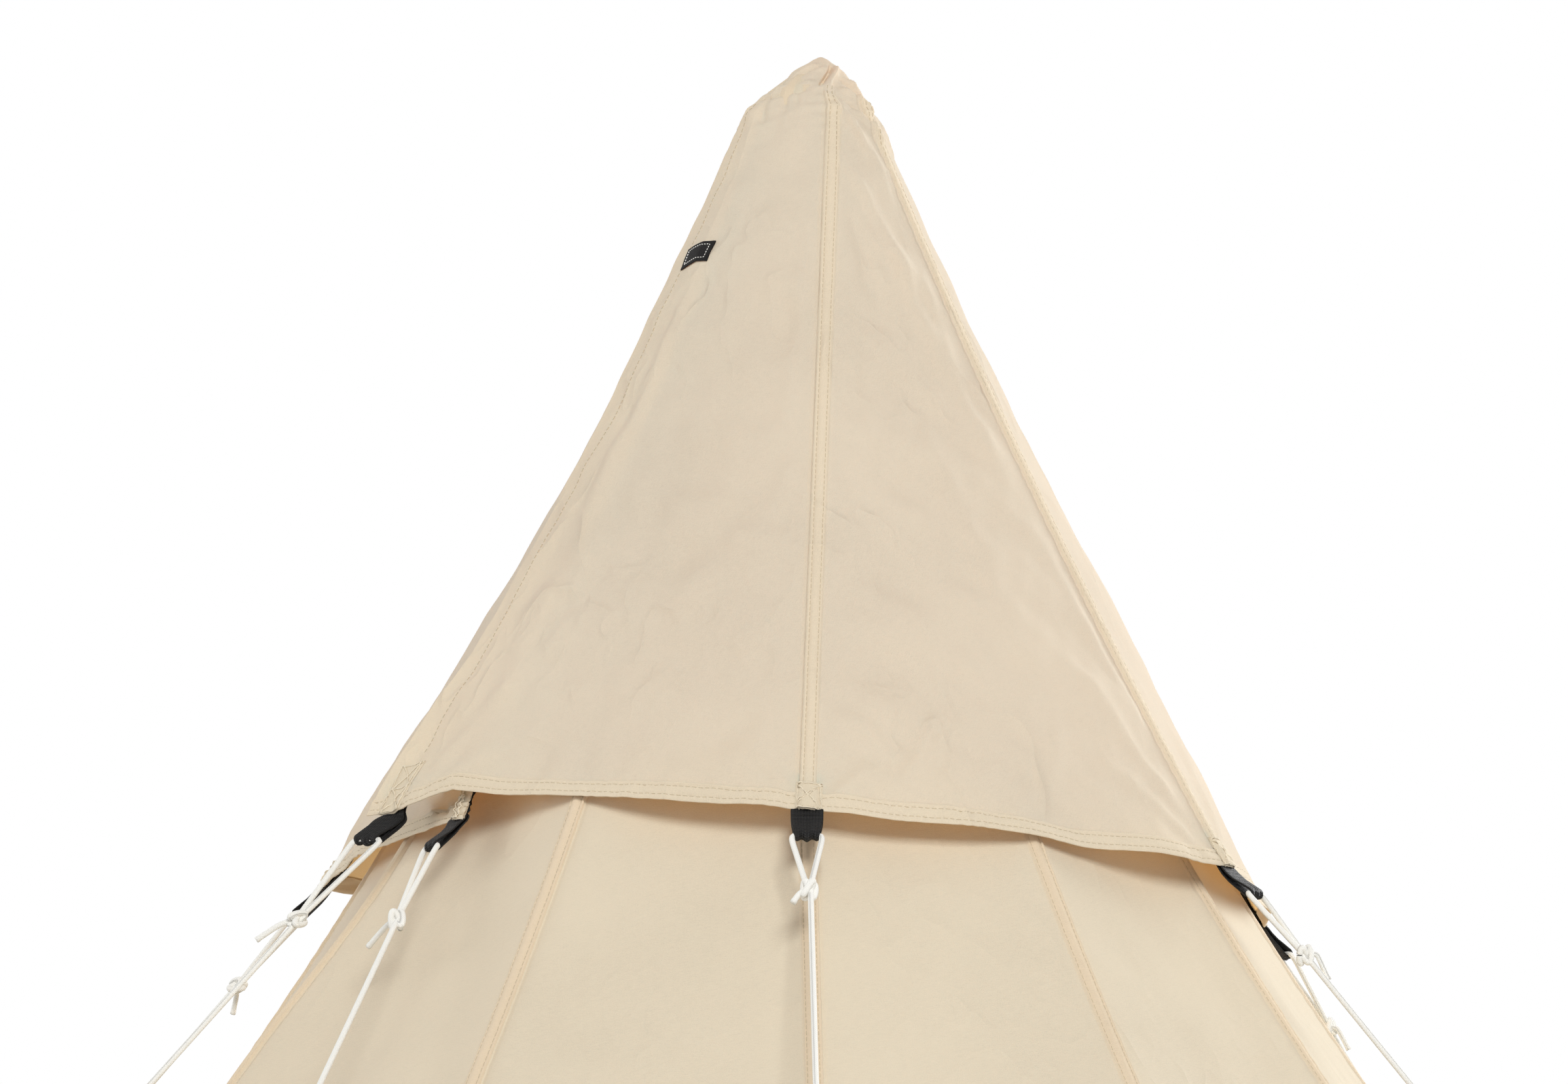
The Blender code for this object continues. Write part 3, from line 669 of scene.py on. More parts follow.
def build_stage():
    camera = bpy.data.cameras.new("camera")
    camera.lens = 101.2
    camera.sensor_width = 36.0
    camera.clip_end = 200.0
    view = new_object("camera", camera)
    view.location = (-0.0214, -3.70, 1.42)
    view.rotation_euler = (math.radians(100.0), 0.0, 0.0)
    bpy.context.scene.camera = view
    bpy.context.scene.view_settings.view_transform = "Standard"
    bpy.context.scene.view_settings.look = "None"

    world = bpy.data.worlds.new("white_studio")
    world.use_nodes = True
    tree = world.node_tree
    place = tree.nodes.new("ShaderNodeTexCoord")
    split = tree.nodes.new("ShaderNodeSeparateXYZ")
    tree.links.new(place.outputs["Generated"], split.inputs[0])
    spans = []
    for output, start, stop, low, high in (("Y", -0.50, 0.65, 0.40, 1.0), ("Z", 0.34, 0.95, 1.0, 0.60)):
        span = tree.nodes.new("ShaderNodeMapRange")
        for key, value in (("From Min", start), ("From Max", stop), ("To Min", low), ("To Max", high)):
            span.inputs[key].default_value = value
        tree.links.new(split.outputs[output], span.inputs["Value"])
        spans.append(span)
    product = tree.nodes.new("ShaderNodeMath")
    product.operation = "MULTIPLY"
    for socket, span in zip(product.inputs, spans):
        tree.links.new(span.outputs["Result"], socket)
    background = tree.nodes["Background"]
    background.inputs["Color"].default_value = (1.0, 1.0, 1.0, 1.0)
    tree.links.new(product.outputs[0], background.inputs["Strength"])
    bpy.context.scene.world = world

    def area(name, place, target, size, power, colour=(1.0, 1.0, 1.0)):
        light = bpy.data.lights.new(name, "AREA")
        light.shape = "SQUARE"
        light.size = size
        light.energy = power
        light.color = colour
        obj = new_object(name, light)
        obj.location = place
        obj.rotation_euler = (Vector(target) - Vector(place)).to_track_quat("-Z", "Y").to_euler()
        obj.visible_camera = False

    area("key", (0.95, -5.35, 4.5), (0.0, 0.0, 1.9), 2.0, 232.0)
    area("right_rear", (3.2, 2.6, 3.0), (0.0, 0.0, 1.9), 2.0, 150.0)
    area("left_side", (-4.0, 0.3, 2.8), (0.0, 0.0, 1.8), 2.0, 42.0)

    floor = bpy.data.meshes.new("floor")
    reach = 30.0
    floor.from_pydata([(-reach, -reach, 0), (reach, -reach, 0), (reach, reach, 0), (-reach, reach, 0)],
                      [], [(0, 1, 2, 3)])
    paint = Nodes("floor_paint")
    speck = paint.noise(paint.place(), 3.0)
    paint.link(paint.ramp(speck, ((0.2, (0.76, 0.76, 0.75)), (0.8, (0.80, 0.80, 0.79)))),
               paint.shader.inputs["Base Color"])
    paint.shader.inputs["Roughness"].default_value = 0.8
    floor.materials.append(paint.material)
    ground = new_object("floor", floor)
    ground.location.z = -0.0006


# ---------------------------------------------------------------- rain cap


def cap_radius(depth):
    """Peak-to-hem profile of the cap's corners before the guy lines pull on them."""
    run = depth - CAP_DOME
    return DOME_RADIUS + 0.407 * run + 0.1159 * (depth**2 - CAP_DOME**2)


def corner_line(name, share):
    """A corner of the cap at shares of the way from its dome, 0, to its hem, 1."""
    azimuth, radius, height = CAP_CORNERS[name]
    hem = HEIGHT - height
    depth = CAP_DOME + (hem - CAP_DOME) * share
    pull = 1 + (radius / cap_radius(hem) - 1) * smooth_step(depth / hem)
    drop = UNDERLAP_DROP if name == "left_inner" else 0.0
    reach = cap_radius(depth) * pull - drop
    if name == "front":
        aside = FRONT_SEAM_TOP * (1 - share) + radius * math.sin(math.radians(azimuth)) * share
        azimuth = np.degrees(np.arcsin(aside / reach))
    return azimuth, reach, HEIGHT - depth


def hem_corner(name):
    azimuth, radius, height = corner_line(name, 1.0)
    return float(azimuth), float(radius), float(height)


CAP_SLOPE = 0.80  # dome to hem along the cloth
PANEL_ARC = 1.04  # how far the cap's panels bulge where they are round
SEAM_BEFORE = (0.0110, 0.0088, 0.0080, 0.0073, 0.0068, 0.0064, 0.0058, 0.0041, 0.0036, 0.0031, 0.0012)
SEAM_AFTER = (0.0, 0.0014, 0.0031, 0.0036, 0.0041, 0.0052, 0.0060, 0.0067, 0.0082, 0.0110)
# panels of the cap: from, to, columns between, then the columns at its first and last side
CAP_PANELS = (
    ("free_outer", "left_outer", 6, (0.0, 0.0008, 0.002), (0.004,)),
    ("left_outer", "overlap", 10, (0.0, 0.0010, 0.0015, 0.0020, 0.0028, 0.0036), ()),
    ("overlap", "front", 64, (0.0,), SEAM_BEFORE),
    ("front", "right", 84, SEAM_AFTER, SEAM_BEFORE),
    ("right", "right_rear", 50, SEAM_AFTER, SEAM_BEFORE),
    ("right_rear", "rear", 44, SEAM_AFTER, SEAM_BEFORE),
    ("rear", "left_rear", 44, SEAM_AFTER, SEAM_BEFORE),
    ("left_rear", "left_inner", 60, SEAM_AFTER, (0.002,)),
    ("left_inner", "free_inner", 3, (0.0, 0.002), (0.006, 0.0045, 0.004, 0.0035, 0.002, 0.0008)),
)
# by a side panel's first corner: how round it is halfway down, at its hem at its first side and at its
# last, and from which share of the way down it changes
HEM_ROUND = {"right": (0.80, 0.28, 0.28, 0.60), "left_rear": (0.60, 0.12, 1.15, 0.68)}
SEAMED = ("front", "right", "right_rear", "rear", "left_rear")
# soft folds of the cap by the corner they are measured from: metres along the hem from it and metres up
# from the hem, for both ends, then the fold's height and its half width
CAP_FOLDS = {
    "front": (
        (0.004, 0.800, 0.070, 0.700, 0.0035, 0.0065),
        (0.008, 0.740, 0.090, 0.580, 0.0043, 0.0075),
        (0.050, 0.650, 0.150, 0.430, 0.0035, 0.0100),
        (0.014, 0.690, 0.060, 0.520, -0.0029, 0.0090),
        (0.012, 0.560, 0.050, 0.330, 0.0026, 0.0100),
        (0.080, 0.460, 0.210, 0.130, 0.0029, 0.0150),
        (0.108, 0.120, 0.066, 0.012, 0.0038, 0.0060),
        (0.012, 0.004, 0.060, 0.060, 0.0029, 0.0060),
        (0.010, 0.110, 0.120, 0.020, 0.0026, 0.0100),
        (-0.014, 0.004, -0.075, 0.065, 0.0032, 0.0080),
        (-0.040, 0.100, -0.090, 0.045, -0.0029, 0.0120),
        (-0.016, 0.400, -0.060, 0.230, 0.0023, 0.0090),
        (-0.030, 0.330, -0.140, 0.180, 0.0029, 0.0160),
        (-0.016, 0.720, -0.034, 0.300, 0.0026, 0.0080),
        (-0.110, 0.150, -0.190, 0.050, 0.0023, 0.0120),
    ),
    "left_outer": (
        (0.026, 0.012, 0.110, 0.240, 0.0038, 0.0100),
        (0.040, 0.004, 0.150, 0.090, 0.0029, 0.0090),
        (0.030, 0.640, 0.040, 0.260, 0.0029, 0.0100),
        (0.016, 0.520, 0.030, 0.120, -0.0023, 0.0100),
    ),
    "right": (
        (-0.018, 0.004, -0.110, 0.110, 0.0038, 0.0080),
        (-0.022, 0.030, -0.080, 0.200, 0.0032, 0.0080),
        (-0.014, 0.100, -0.036, 0.360, 0.0029, 0.0080),
        (-0.016, 0.790, -0.017, 0.040, -0.0052, 0.0045),
        (-0.024, 0.640, -0.044, 0.330, 0.0026, 0.0090),
        (-0.110, 0.130, -0.190, 0.020, 0.0026, 0.0100),
        (0.020, 0.010, 0.100, 0.160, 0.0038, 0.0110),
    ),
    "right_rear": (
        (-0.020, 0.010, -0.110, 0.180, 0.0038, 0.0120),
        (0.020, 0.010, 0.130, 0.200, 0.0038, 0.0130),
    ),
    "rear": (
        (-0.020, 0.010, -0.130, 0.200, 0.0038, 0.0130),
        (0.020, 0.010, 0.110, 0.230, 0.0038, 0.0130),
    ),
    "left_rear": (
        (-0.020, 0.010, -0.120, 0.200, 0.0038, 0.0120),
        (0.020, 0.010, 0.110, 0.190, 0.0038, 0.0120),
    ),
    "left_inner": (
        (-0.012, 0.004, -0.060, 0.055, 0.0043, 0.0045),
        (-0.020, 0.004, -0.045, 0.045, -0.0035, 0.0040),
        (-0.030, 0.002, -0.110, 0.060, 0.0032, 0.0080),
    ),
}


class Grid:
    """A cloth as a grid of points, with the places of its seams, and its rows' distances from the hem."""

    def __init__(self, points, rise):
        self.points, self.rise = points, rise
        self.seams = {}
        self.measure()

    def measure(self):
        step = np.linalg.norm(np.diff(self.points, axis=1), axis=2)
        self.run = np.concatenate([np.zeros((len(step), 1)), np.cumsum(step, axis=1)], axis=1)
        self.normals = normals_of(self.points)

    def at(self, seam, across, up):
        """Points and normals on the cloth, metres along the hem from a seam and metres up from the hem."""
        across, up = np.broadcast_arrays(np.float64(across), np.float64(up))
        found = []
        order = np.argsort(self.rise)
        for x, d in zip(across.ravel(), up.ravel()):
            where = np.interp(d, self.rise[order], order.astype(float))
            low = int(min(where, len(self.rise) - 2))
            share = where - low
            sides = []
            for row in (low, low + 1):
                s = self.run[row, self.seams[seam]] + x
                k = int(np.clip(np.searchsorted(self.run[row], s) - 1, 0, self.run.shape[1] - 2))
                t = (s - self.run[row, k]) / max(self.run[row, k + 1] - self.run[row, k], 1e-9)
                both = [a[row, k] * (1 - t) + a[row, k + 1] * t for a in (self.points, self.normals)]
                sides.append(both)
            found.append([a * (1 - share) + b * share for a, b in zip(*sides)])
        found = np.array(found).reshape(*across.shape, 2, 3)
        return found[..., 0, :], unit(found[..., 1, :])

    def sew(self, sewing, rows, columns, upward=False):
        """A row of stitches along part of one of the cloth's rows or columns."""
        step = -1 if upward else 1
        sewing.row(self.points[rows, columns][::step], self.normals[rows, columns][::step])


def add_folds(grid, folds):
    """Raises soft ridges along straight lines between places on the cloth."""
    total = np.zeros(grid.points.shape[:2])
    for seam, rows in folds.items():
        for x0, d0, x1, d1, height, width in rows:
            t, near = beside(grid.points, grid.at(seam, x0, d0)[0], grid.at(seam, x1, d1)[0])
            width = width * (0.7 + 0.8 * np.clip(t, 0, 1))
            total += height * plateau(t, 0, 0.25, 1, 0.35) * bell(near, width)
    return total


def panel_share(length, before, between, after, full):
    """The columns' places across a panel, 0 to 1, for each row's panel length; below the full length
    the columns beside its seams draw together."""
    scale = np.minimum(1.0, length / full)
    first = [np.array(x) * scale / length for x in before]
    last = [1 - np.array(x) * scale / length for x in after]
    start = first[-1]
    stop = last[0] if last else np.ones_like(length)
    middle = [start + (stop - start) * k / (between + 1) for k in range(1, between + 1)]
    return np.stack(first + middle + last, axis=1)


def cap_corner(name, share):
    """Points of a corner or a free edge of the cap, and the direction of the cloth across it."""
    if name == "free_outer":
        azimuth, radius, height = corner_line("left_outer", share)
        reach = -FREE_EDGE * np.minimum(1.0, radius / EDGE_FULL)
    elif name == "free_inner":
        azimuth, radius, height = corner_line("left_inner", share)
        reach = INNER_EDGE * np.minimum(1.0, radius / EDGE_FULL)
    else:
        azimuth, radius, height = corner_line(name, share)
        reach = 0.0 * share
    level = along(azimuth) * np.ones_like(share)[:, None]
    lay = level
    if name == "free_outer":
        blend = smooth_step((share - 0.72) / 0.26)[:, None]
        lay = unit(level * (1 - blend) + np.array(EDGE_LAY) * blend)
    place = polar(azimuth, radius, height) + lay * np.asarray(reach)[:, None]
    turn = turn_of(place)
    direction = level
    if name in ("free_outer", "free_inner"):
        blend = smooth_step(share / 0.3)[:, None]
        direction = unit(along(turn) * (1 - blend) + lay * blend)
    return place, direction


def cap_grid():
    near = np.array([0, 0.0007, 0.0020, 0.0034, 0.0040, 0.0046, 0.0060, 0.0088, 0.0113, 0.0120, 0.0127,
                     0.0143, 0.0155, 0.0163, 0.0172, 0.0190, 0.0220, 0.0262])
    rise = np.concatenate([near, np.linspace(near[-1], 0.71, 152)[1:], np.linspace(0.71, CAP_SLOPE, 36)[1:]])
    rise = rise[::-1]
    share = 1 - rise / CAP_SLOPE
    columns, seams, seam_distance, free_distance, col = [], {}, [], [], 0
    for first, last, between, before, after in CAP_PANELS:
        p0, t0 = cap_corner(first, share)
        p1, t1 = cap_corner(last, share)
        chord = p1 - p0
        length = np.linalg.norm(chord, axis=1)
        u = panel_share(length, before, between, after, 0.075)
        if last == "free_inner":
            u = np.concatenate([u, np.ones_like(u[:, :1])], axis=1)
        full = (1 - 0.4 * smooth_step(share / 0.45))[:, None]
        round0, round1 = full, full
        if first in HEM_ROUND:
            middle, hem0, hem1, start = HEM_ROUND[first]
            full = (1 - (1 - middle) * smooth_step(share / 0.5))[:, None]
            lose = np.clip((share - start) / (1 - start), 0, 1)[:, None]
            round0, round1 = full + (hem0 - full) * lose, full + (hem1 - full) * lose
        level = np.linalg.norm(chord[:, :2], axis=1, keepdims=True)
        if first == "overlap":  # there the cloth runs on smoothly, with no seam
            t0 = unit(chord * LEVEL + t0 * level * 0.5)
        if last == "overlap":
            t1 = unit(chord * LEVEL + t1 * level * 0.5)
        lift = chord * UP
        t0 = round0 * (t0 * level * PANEL_ARC + lift) + (1 - round0) * chord
        t1 = round1 * (t1 * level * PANEL_ARC + lift) + (1 - round1) * chord
        cloth = hermite(u[..., None], p0[:, None], t0[:, None], p1[:, None], t1[:, None])
        seams[first] = col
        x0, x1 = u * length[:, None], (1 - u) * length[:, None]
        side = np.full_like(u, 1.0)
        if first in SEAMED:
            side = np.where(x0 < np.abs(side), x0, side)
        if last in SEAMED:
            side = np.where(x1 < np.abs(side), -x1, side)
        seam_distance.append(side)
        free = np.full_like(u, 1.0)
        if first == "free_outer":
            free = x0
        if first == "left_outer":
            free = x0 + FREE_EDGE
        if last == "free_inner":
            free = x1 + 10.0
        free_distance.append(free)
        columns.append(cloth)
        col += u.shape[1]
    grid = np.concatenate(columns, axis=1)
    side = np.concatenate(seam_distance, axis=1)
    free = np.concatenate(free_distance, axis=1)
    slip = smooth_step((turn_of(grid) % 360 - 258) / 40)
    under = np.zeros(grid.shape[:2])
    under[:, seams["left_rear"]:] = slip[:, seams["left_rear"]:]
    under[:, seams["left_inner"]:] = 0.0
    grid = grid - unit(grid * LEVEL) * (under * UNDERLAP_DROP)[..., None]

    dome = np.concatenate([[0.0003, 0.0010, 0.0020, 0.0032], np.linspace(0.0045, 0.0565, 36)])
    scale = np.interp(dome, *np.array(DOME_PATH).T) / DOME_RADIUS
    top = grid[0] * LEVEL
    crown = top[None] * scale[:, None, None] + UP * (HEIGHT - dome)[:, None, None]
    points = np.concatenate([crown, grid])
    rise = np.concatenate([CAP_SLOPE + (CAP_DOME - dome) * 1.25, rise])
    result = Grid(points, rise)
    result.seams = seams
    extra = np.ones((len(dome), 1))
    return result, np.concatenate([extra * side[:1], side]), np.concatenate([extra * free[:1], free])


# creases of the peak, each a line of (azimuth, depth) places, then its height and its half width
PEAK_CREASES = (
    (((-62, 0.033), (-44, 0.033), (-22, 0.030), (-6, 0.030), (8, 0.034)), 0.0040, 0.0036),
    (((-66, 0.043), (-50, 0.043), (-30, 0.0385), (-12, 0.0385), (5, 0.0415)), -0.0046, 0.0030),
    (((-48, 0.042), (-44, 0.058), (-38, 0.075)), -0.0036, 0.0040),
    (((-30, 0.038), (-24, 0.052), (-22, 0.066)), -0.0040, 0.0034),
    (((-14, 0.037), (-12, 0.055)), -0.0034, 0.0026),
    (((40, 0.010), (30, 0.017), (20, 0.024), (13, 0.031), (10, 0.038)), -0.0060, 0.0019),
    (((50, 0.011), (40, 0.018), (30, 0.026), (22, 0.034), (18, 0.044)), 0.0042, 0.0028),
    (((-44, 0.022), (-24, 0.0170), (-2, 0.0140), (14, 0.0120)), -0.0034, 0.0019),
    (((-50, 0.017), (-26, 0.0125), (0, 0.0095)), 0.0020, 0.0026),
    (((-70, 0.026), (-55, 0.030), (-42, 0.028)), -0.0010, 0.0022),
    (((34, 0.036), (52, 0.046), (70, 0.062)), 0.0042, 0.0032),
    (((30, 0.046), (46, 0.056), (62, 0.074)), -0.0032, 0.0028),
    (((42, 0.026), (62, 0.036), (84, 0.050)), -0.0035, 0.0028),
    (((58, 0.026), (78, 0.036), (96, 0.052)), 0.0038, 0.0032),
    (((38, 0.058), (54, 0.070), (64, 0.090)), 0.0032, 0.0034),
    (((26, 0.058), (34, 0.075), (40, 0.105)), 0.0029, 0.0040),
    (((62, 0.058), (74, 0.070), (84, 0.088)), -0.0035, 0.0032),
    (((80, 0.060), (92, 0.074), (100, 0.098)), 0.0035, 0.0036),
    (((120, 0.030), (130, 0.050), (136, 0.085)), 0.0022, 0.0040),
    (((150, 0.022), (160, 0.045), (156, 0.080)), -0.0022, 0.0040),
    (((186, 0.026), (190, 0.050), (200, 0.090)), 0.0024, 0.0042),
    (((222, 0.024), (226, 0.046), (222, 0.080)), -0.0022, 0.0040),
    (((258, 0.030), (262, 0.050), (256, 0.080)), 0.0022, 0.0040),
)


def peak_point(azimuth, depth):
    """A place on the unfolded peak."""
    radius = cap_radius(depth) if depth > CAP_DOME else np.interp(depth, *np.array(DOME_PATH).T)
    return polar(azimuth, radius, HEIGHT - depth)


def peak_folds(points):
    """The gathers and overlapping creases of the cap's peak."""
    total = np.zeros(points.shape[:2])
    top = points[..., 2] > HEIGHT - 0.16
    near_top = points[top]
    for places, height, width in PEAK_CREASES:
        line = rounded(np.array([peak_point(a, d) for a, d in places]), 2)
        line, run = resample(line, step=0.0020)
        off = np.linalg.norm(near_top[:, None] - line[None], axis=2)
        nearest = off.argmin(axis=1)
        s = run[nearest] / run[-1]
        total[top] += height * plateau(s, -0.02, 0.22, 1.02, 0.30) * bell(off.min(axis=1), width)
    depth = HEIGHT - points[..., 2]
    crumple = 0.0007 * waves(points, 5, 0.016) + 0.0008 * waves(points, 6, 0.030)
    total += crumple * plateau(depth, 0.004, 0.012, 0.11, 0.06)
    return total * smooth_step((depth - 0.001) / 0.010)


def build_cap():
    grid, side, free = cap_grid()
    rise = grid.rise[:, None] * np.ones_like(side)
    scale = np.minimum(1.0, np.linalg.norm(grid.points[..., :2], axis=2) / 0.05)
    band = 0.0017 * plateau(side, -0.0066, 0.0005, 0.0066, 0.0014)
    band += 0.0009 * bell(side + 0.0055, 0.0012)
    band -= 0.0009 * bell(side + 0.0078, 0.0010)
    band -= 0.00065 * sum(bell(side - x, 0.0007) for x in CAP_SEAM_ROWS)
    band += 0.0010 * smooth_step((HEM + 0.0004 - rise) / 0.0010)
    band -= 0.0007 * smooth_step((0.0020 - rise) / 0.0020)
    band -= 0.00055 * sum(bell(rise - x, 0.0009) for x in HEM_ROWS)
    band += 0.0005 * smooth_step((0.0246 - free) / 0.0012) * (free < 5)
    band -= 0.00035 * bell(free - FREE_EDGE - FREE_EDGE_ROW, 0.0007) * (free < 5)
    pucker = np.sin(2 * np.pi * rise / 0.0165 + 3 * waves(grid.points, 3, 0.05))
    band += 0.00035 * pucker * bell(np.abs(side) - 0.008, 0.007)
    along_hem = np.sin(2 * np.pi * (grid.run + 0.4 * rise) / 0.0165 + 4 * waves(grid.points, 4, 0.05))
    band += 0.00085 * along_hem * bell(rise - 0.009, 0.009) * (0.5 + 0.7 * waves(grid.points, 7, 0.10))
    dents = 0.0024 * waves(grid.points, 11, 0.22) + 0.0016 * waves(grid.points, 12, 0.07)
    dents += 0.00080 * waves(grid.points, 13, 0.034)
    dents *= smooth_step((np.abs(side) - 0.004) / 0.03)
    dents *= 0.35 + 0.65 * smooth_step(rise / 0.03)
    turn = turn_of(grid.points)
    dents *= 1 - 0.65 * smooth_step((np.abs(turn) - 46) / 20)
    flutter = 0.0022 * waves(grid.points, 15, 0.11) * smooth_step((0.05 - rise) / 0.05)
    flutter *= smooth_step((np.abs(side) - 0.01) / 0.05)
    band *= 1 - smooth_step((rise - CAP_SLOPE - 0.014) / 0.010)
    # where the cloth is several layers: less light comes through there, and its colour is darkened there as
    # painted shade
    layers = plateau(side, -0.0070, 0.0006, 0.0070, 0.0008) * (rise < CAP_SLOPE + 0.014)
    layers = np.maximum(layers, smooth_step((HEM + 0.0004 - rise) / 0.0010))
    total = band * scale + (dents + flutter) * scale + add_folds(grid, CAP_FOLDS) + peak_folds(grid.points)
    grid.points = grid.points + grid.normals * total[..., None]
    depth = HEIGHT - grid.points[..., 2]
    grid.points[..., 0] += 0.0105 * (1 - smooth_step(depth / 0.050))
    grid.measure()
    rows, columns = grid.points.shape[:2]
    faces = grid_faces(rows, columns)
    dome_rows = int((grid.rise > CAP_SLOPE + 0.001).sum())
    turn = turn_of(grid.points)
    edge = turn[dome_rows, 0] + 360
    beyond = (turn[:-1, 1:] % 360 > (edge + 4)) & (np.arange(columns - 1) >= grid.seams["left_rear"])[None]
    beyond |= (np.arange(columns - 1) >= grid.seams["left_inner"])[None] & (turn[:-1, 1:] > -80)
    keep = np.ones(faces.shape[:2], bool)
    keep[:dome_rows] = ~beyond[:dome_rows]
    uv = np.stack([grid.run, grid.rise[:, None] * np.ones_like(grid.run)], axis=-1)
    last = rows - 1
    down = unit(grid.points[last] - grid.points[last - 3])
    inward = -grid.normals[last]
    turned = [grid.points[last] + inward * HEM_FOLD * (1 - math.cos(a)) + down * HEM_FOLD * math.sin(a)
              for a in np.linspace(0, math.pi, 7)[1:]]
    folded = [int(np.argmin(np.abs(grid.rise - x))) for x in (0.0034, 0.0060, 0.0113, 0.0155)]
    turned += [grid.points[r] - grid.normals[r] * 2 * HEM_FOLD for r in folded]
    points = np.concatenate([grid.points, np.array(turned)])
    uv = np.concatenate([uv, np.repeat(uv[last:], len(turned), axis=0)])
    layers = np.concatenate([layers, np.ones((len(turned), columns))]).reshape(-1)
    faces = np.concatenate([faces, grid_faces(len(turned) + 1, columns) + last * columns])
    keep = np.concatenate([keep, np.ones((len(turned), columns - 1), bool)])
    points = points.reshape(-1, 3)
    chosen = facing_out(points, faces[keep])
    used, chosen = np.unique(chosen, return_inverse=True)
    piece = add_piece("rain_cap", points[used], chosen.reshape(-1, 4), CAP_CANVAS,
                      uv=uv.reshape(-1, 2)[used], layers=layers[used])
    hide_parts("rain_cap_front", "rain_cap_rear")

    sewing = Sewing()
    for name in SEAMED:
        for offset in CAP_SEAM_ROWS:
            steps = SEAM_BEFORE.index(-offset) - len(SEAM_BEFORE) if offset < 0 else SEAM_AFTER.index(offset)
            column = grid.seams[name] + steps
            first = dome_rows - (13 if name == "front" else 5)
            grid.sew(sewing, slice(first, last - 3), column, upward=True)
    for height in HEM_ROWS:
        row = int(np.argmin(np.abs(grid.rise - height)))
        grid.sew(sewing, row, slice(2, -3))
    grid.sew(sewing, slice(dome_rows - 6, last - 24), grid.seams["left_outer"] + 2, upward=True)
    grid.sew(sewing, slice(dome_rows + 20, last), columns - 5, upward=True)
    sewing.piece("rain_cap_stitching", THREAD, "cap_canvas")
    return grid, piece


def corner_patch(grid, seam, low, high, half):
    """A second layer of cloth on the outside of a corner, under the box stitches."""
    x = np.array([-1, -0.97, -0.9, -0.7, -0.45, -0.2, 0, 0.2, 0.45, 0.7, 0.9, 0.97, 1]) * half
    d = low + (high - low) * np.array([0, 0.02, 0.06, 0.2, 0.35, 0.5, 0.65, 0.8, 0.94, 0.98, 1.0])
    place, normal = grid.at(seam, x[None] + 0 * d[:, None], d[:, None] + 0 * x[None])
    edge = np.minimum(half - np.abs(x)[None], np.minimum(d - low, high - d)[:, None])
    place = place + normal * (0.0002 + 0.0008 * smooth_step(edge / 0.0010))[..., None]
    uv = uv_grid(x[None], d[:, None])
    faces = facing_out(place, grid_faces(*place.shape[:2]))
    return add_piece("corner_patch_" + seam, place, faces, PATCH_CANVAS, uv=uv)


# the stitched boxes over the webbing: from and to above the hem, half width, seed, how many boxes
BOX_STITCHES = {
    "front": (0.0006, 0.0250, 0.0105, 71, 1),
    "right": (0.0010, 0.0265, 0.0100, 72, 1),
    "left_outer": (0.0008, 0.0480, 0.0100, 73, 2),
    "left_inner": (0.0010, 0.0420, 0.0085, 74, 2),
    "right_rear": (0.0010, 0.0260, 0.0100, 75, 1),
    "rear": (0.0010, 0.0260, 0.0100, 76, 1),
    "left_rear": (0.0010, 0.0260, 0.0100, 77, 1),
}


def box_stitches(grid, seam, low, high, half, seed, boxes):
    """Threads of a sewn box with a cross, a little uneven, on the outer side of the cap."""
    rng = np.random.default_rng(seed)
    sewing = Sewing()
    step = (high - low) / boxes
    for k in range(boxes):
        a, b = low + k * step, low + (k + 1) * step
        corners = [(-half, a), (half, a), (half, b), (-half, b)]
        lines = [*zip(corners, corners[1:] + corners[:1]), *zip(corners[:2], corners[2:])]
        for double in range(2):
            for start, stop in lines:
                start = np.array(start) + rng.normal(scale=0.0007, size=2)
                stop = np.array(stop) + rng.normal(scale=0.0007, size=2)
                count = max(3, int(np.hypot(*(stop - start)) / 0.0009))
                t = np.linspace(0, 1, count)
                path = start + (stop - start) * t[:, None]
                path[1:-1] += rng.normal(scale=0.00012, size=(count - 2, 2))
                place, normal = grid.at(seam, path[:, 0], np.maximum(path[:, 1], 0.0004))
                dips = 0.00035 * np.abs(np.cos(np.pi * t * count * 0.0009 / 0.0034))
                lift = 0.00105 + 0.00018 * double + dips
                sewing.thread(place + normal * lift[:, None], 0.00036)
        for corner in ((-half, b), (half, b)):
            turn = np.linspace(0, 2 * np.pi, 14)
            size = 0.0011 + 0.0006 * rng.random()
            path = np.array(corner) + size * np.stack([np.cos(turn) + 0.4, 0.8 * np.sin(turn)], axis=1)
            place, normal = grid.at(seam, path[:, 0], path[:, 1])
            sewing.thread(place + normal * 0.0015)
    sewing.piece("box_stitching_" + seam, PALE_THREAD, "cap_canvas")
    if seam != "left_inner":
        corner_patch(grid, seam, max(low - 0.0008, 0.0002), high + 0.0022, half + 0.0022)


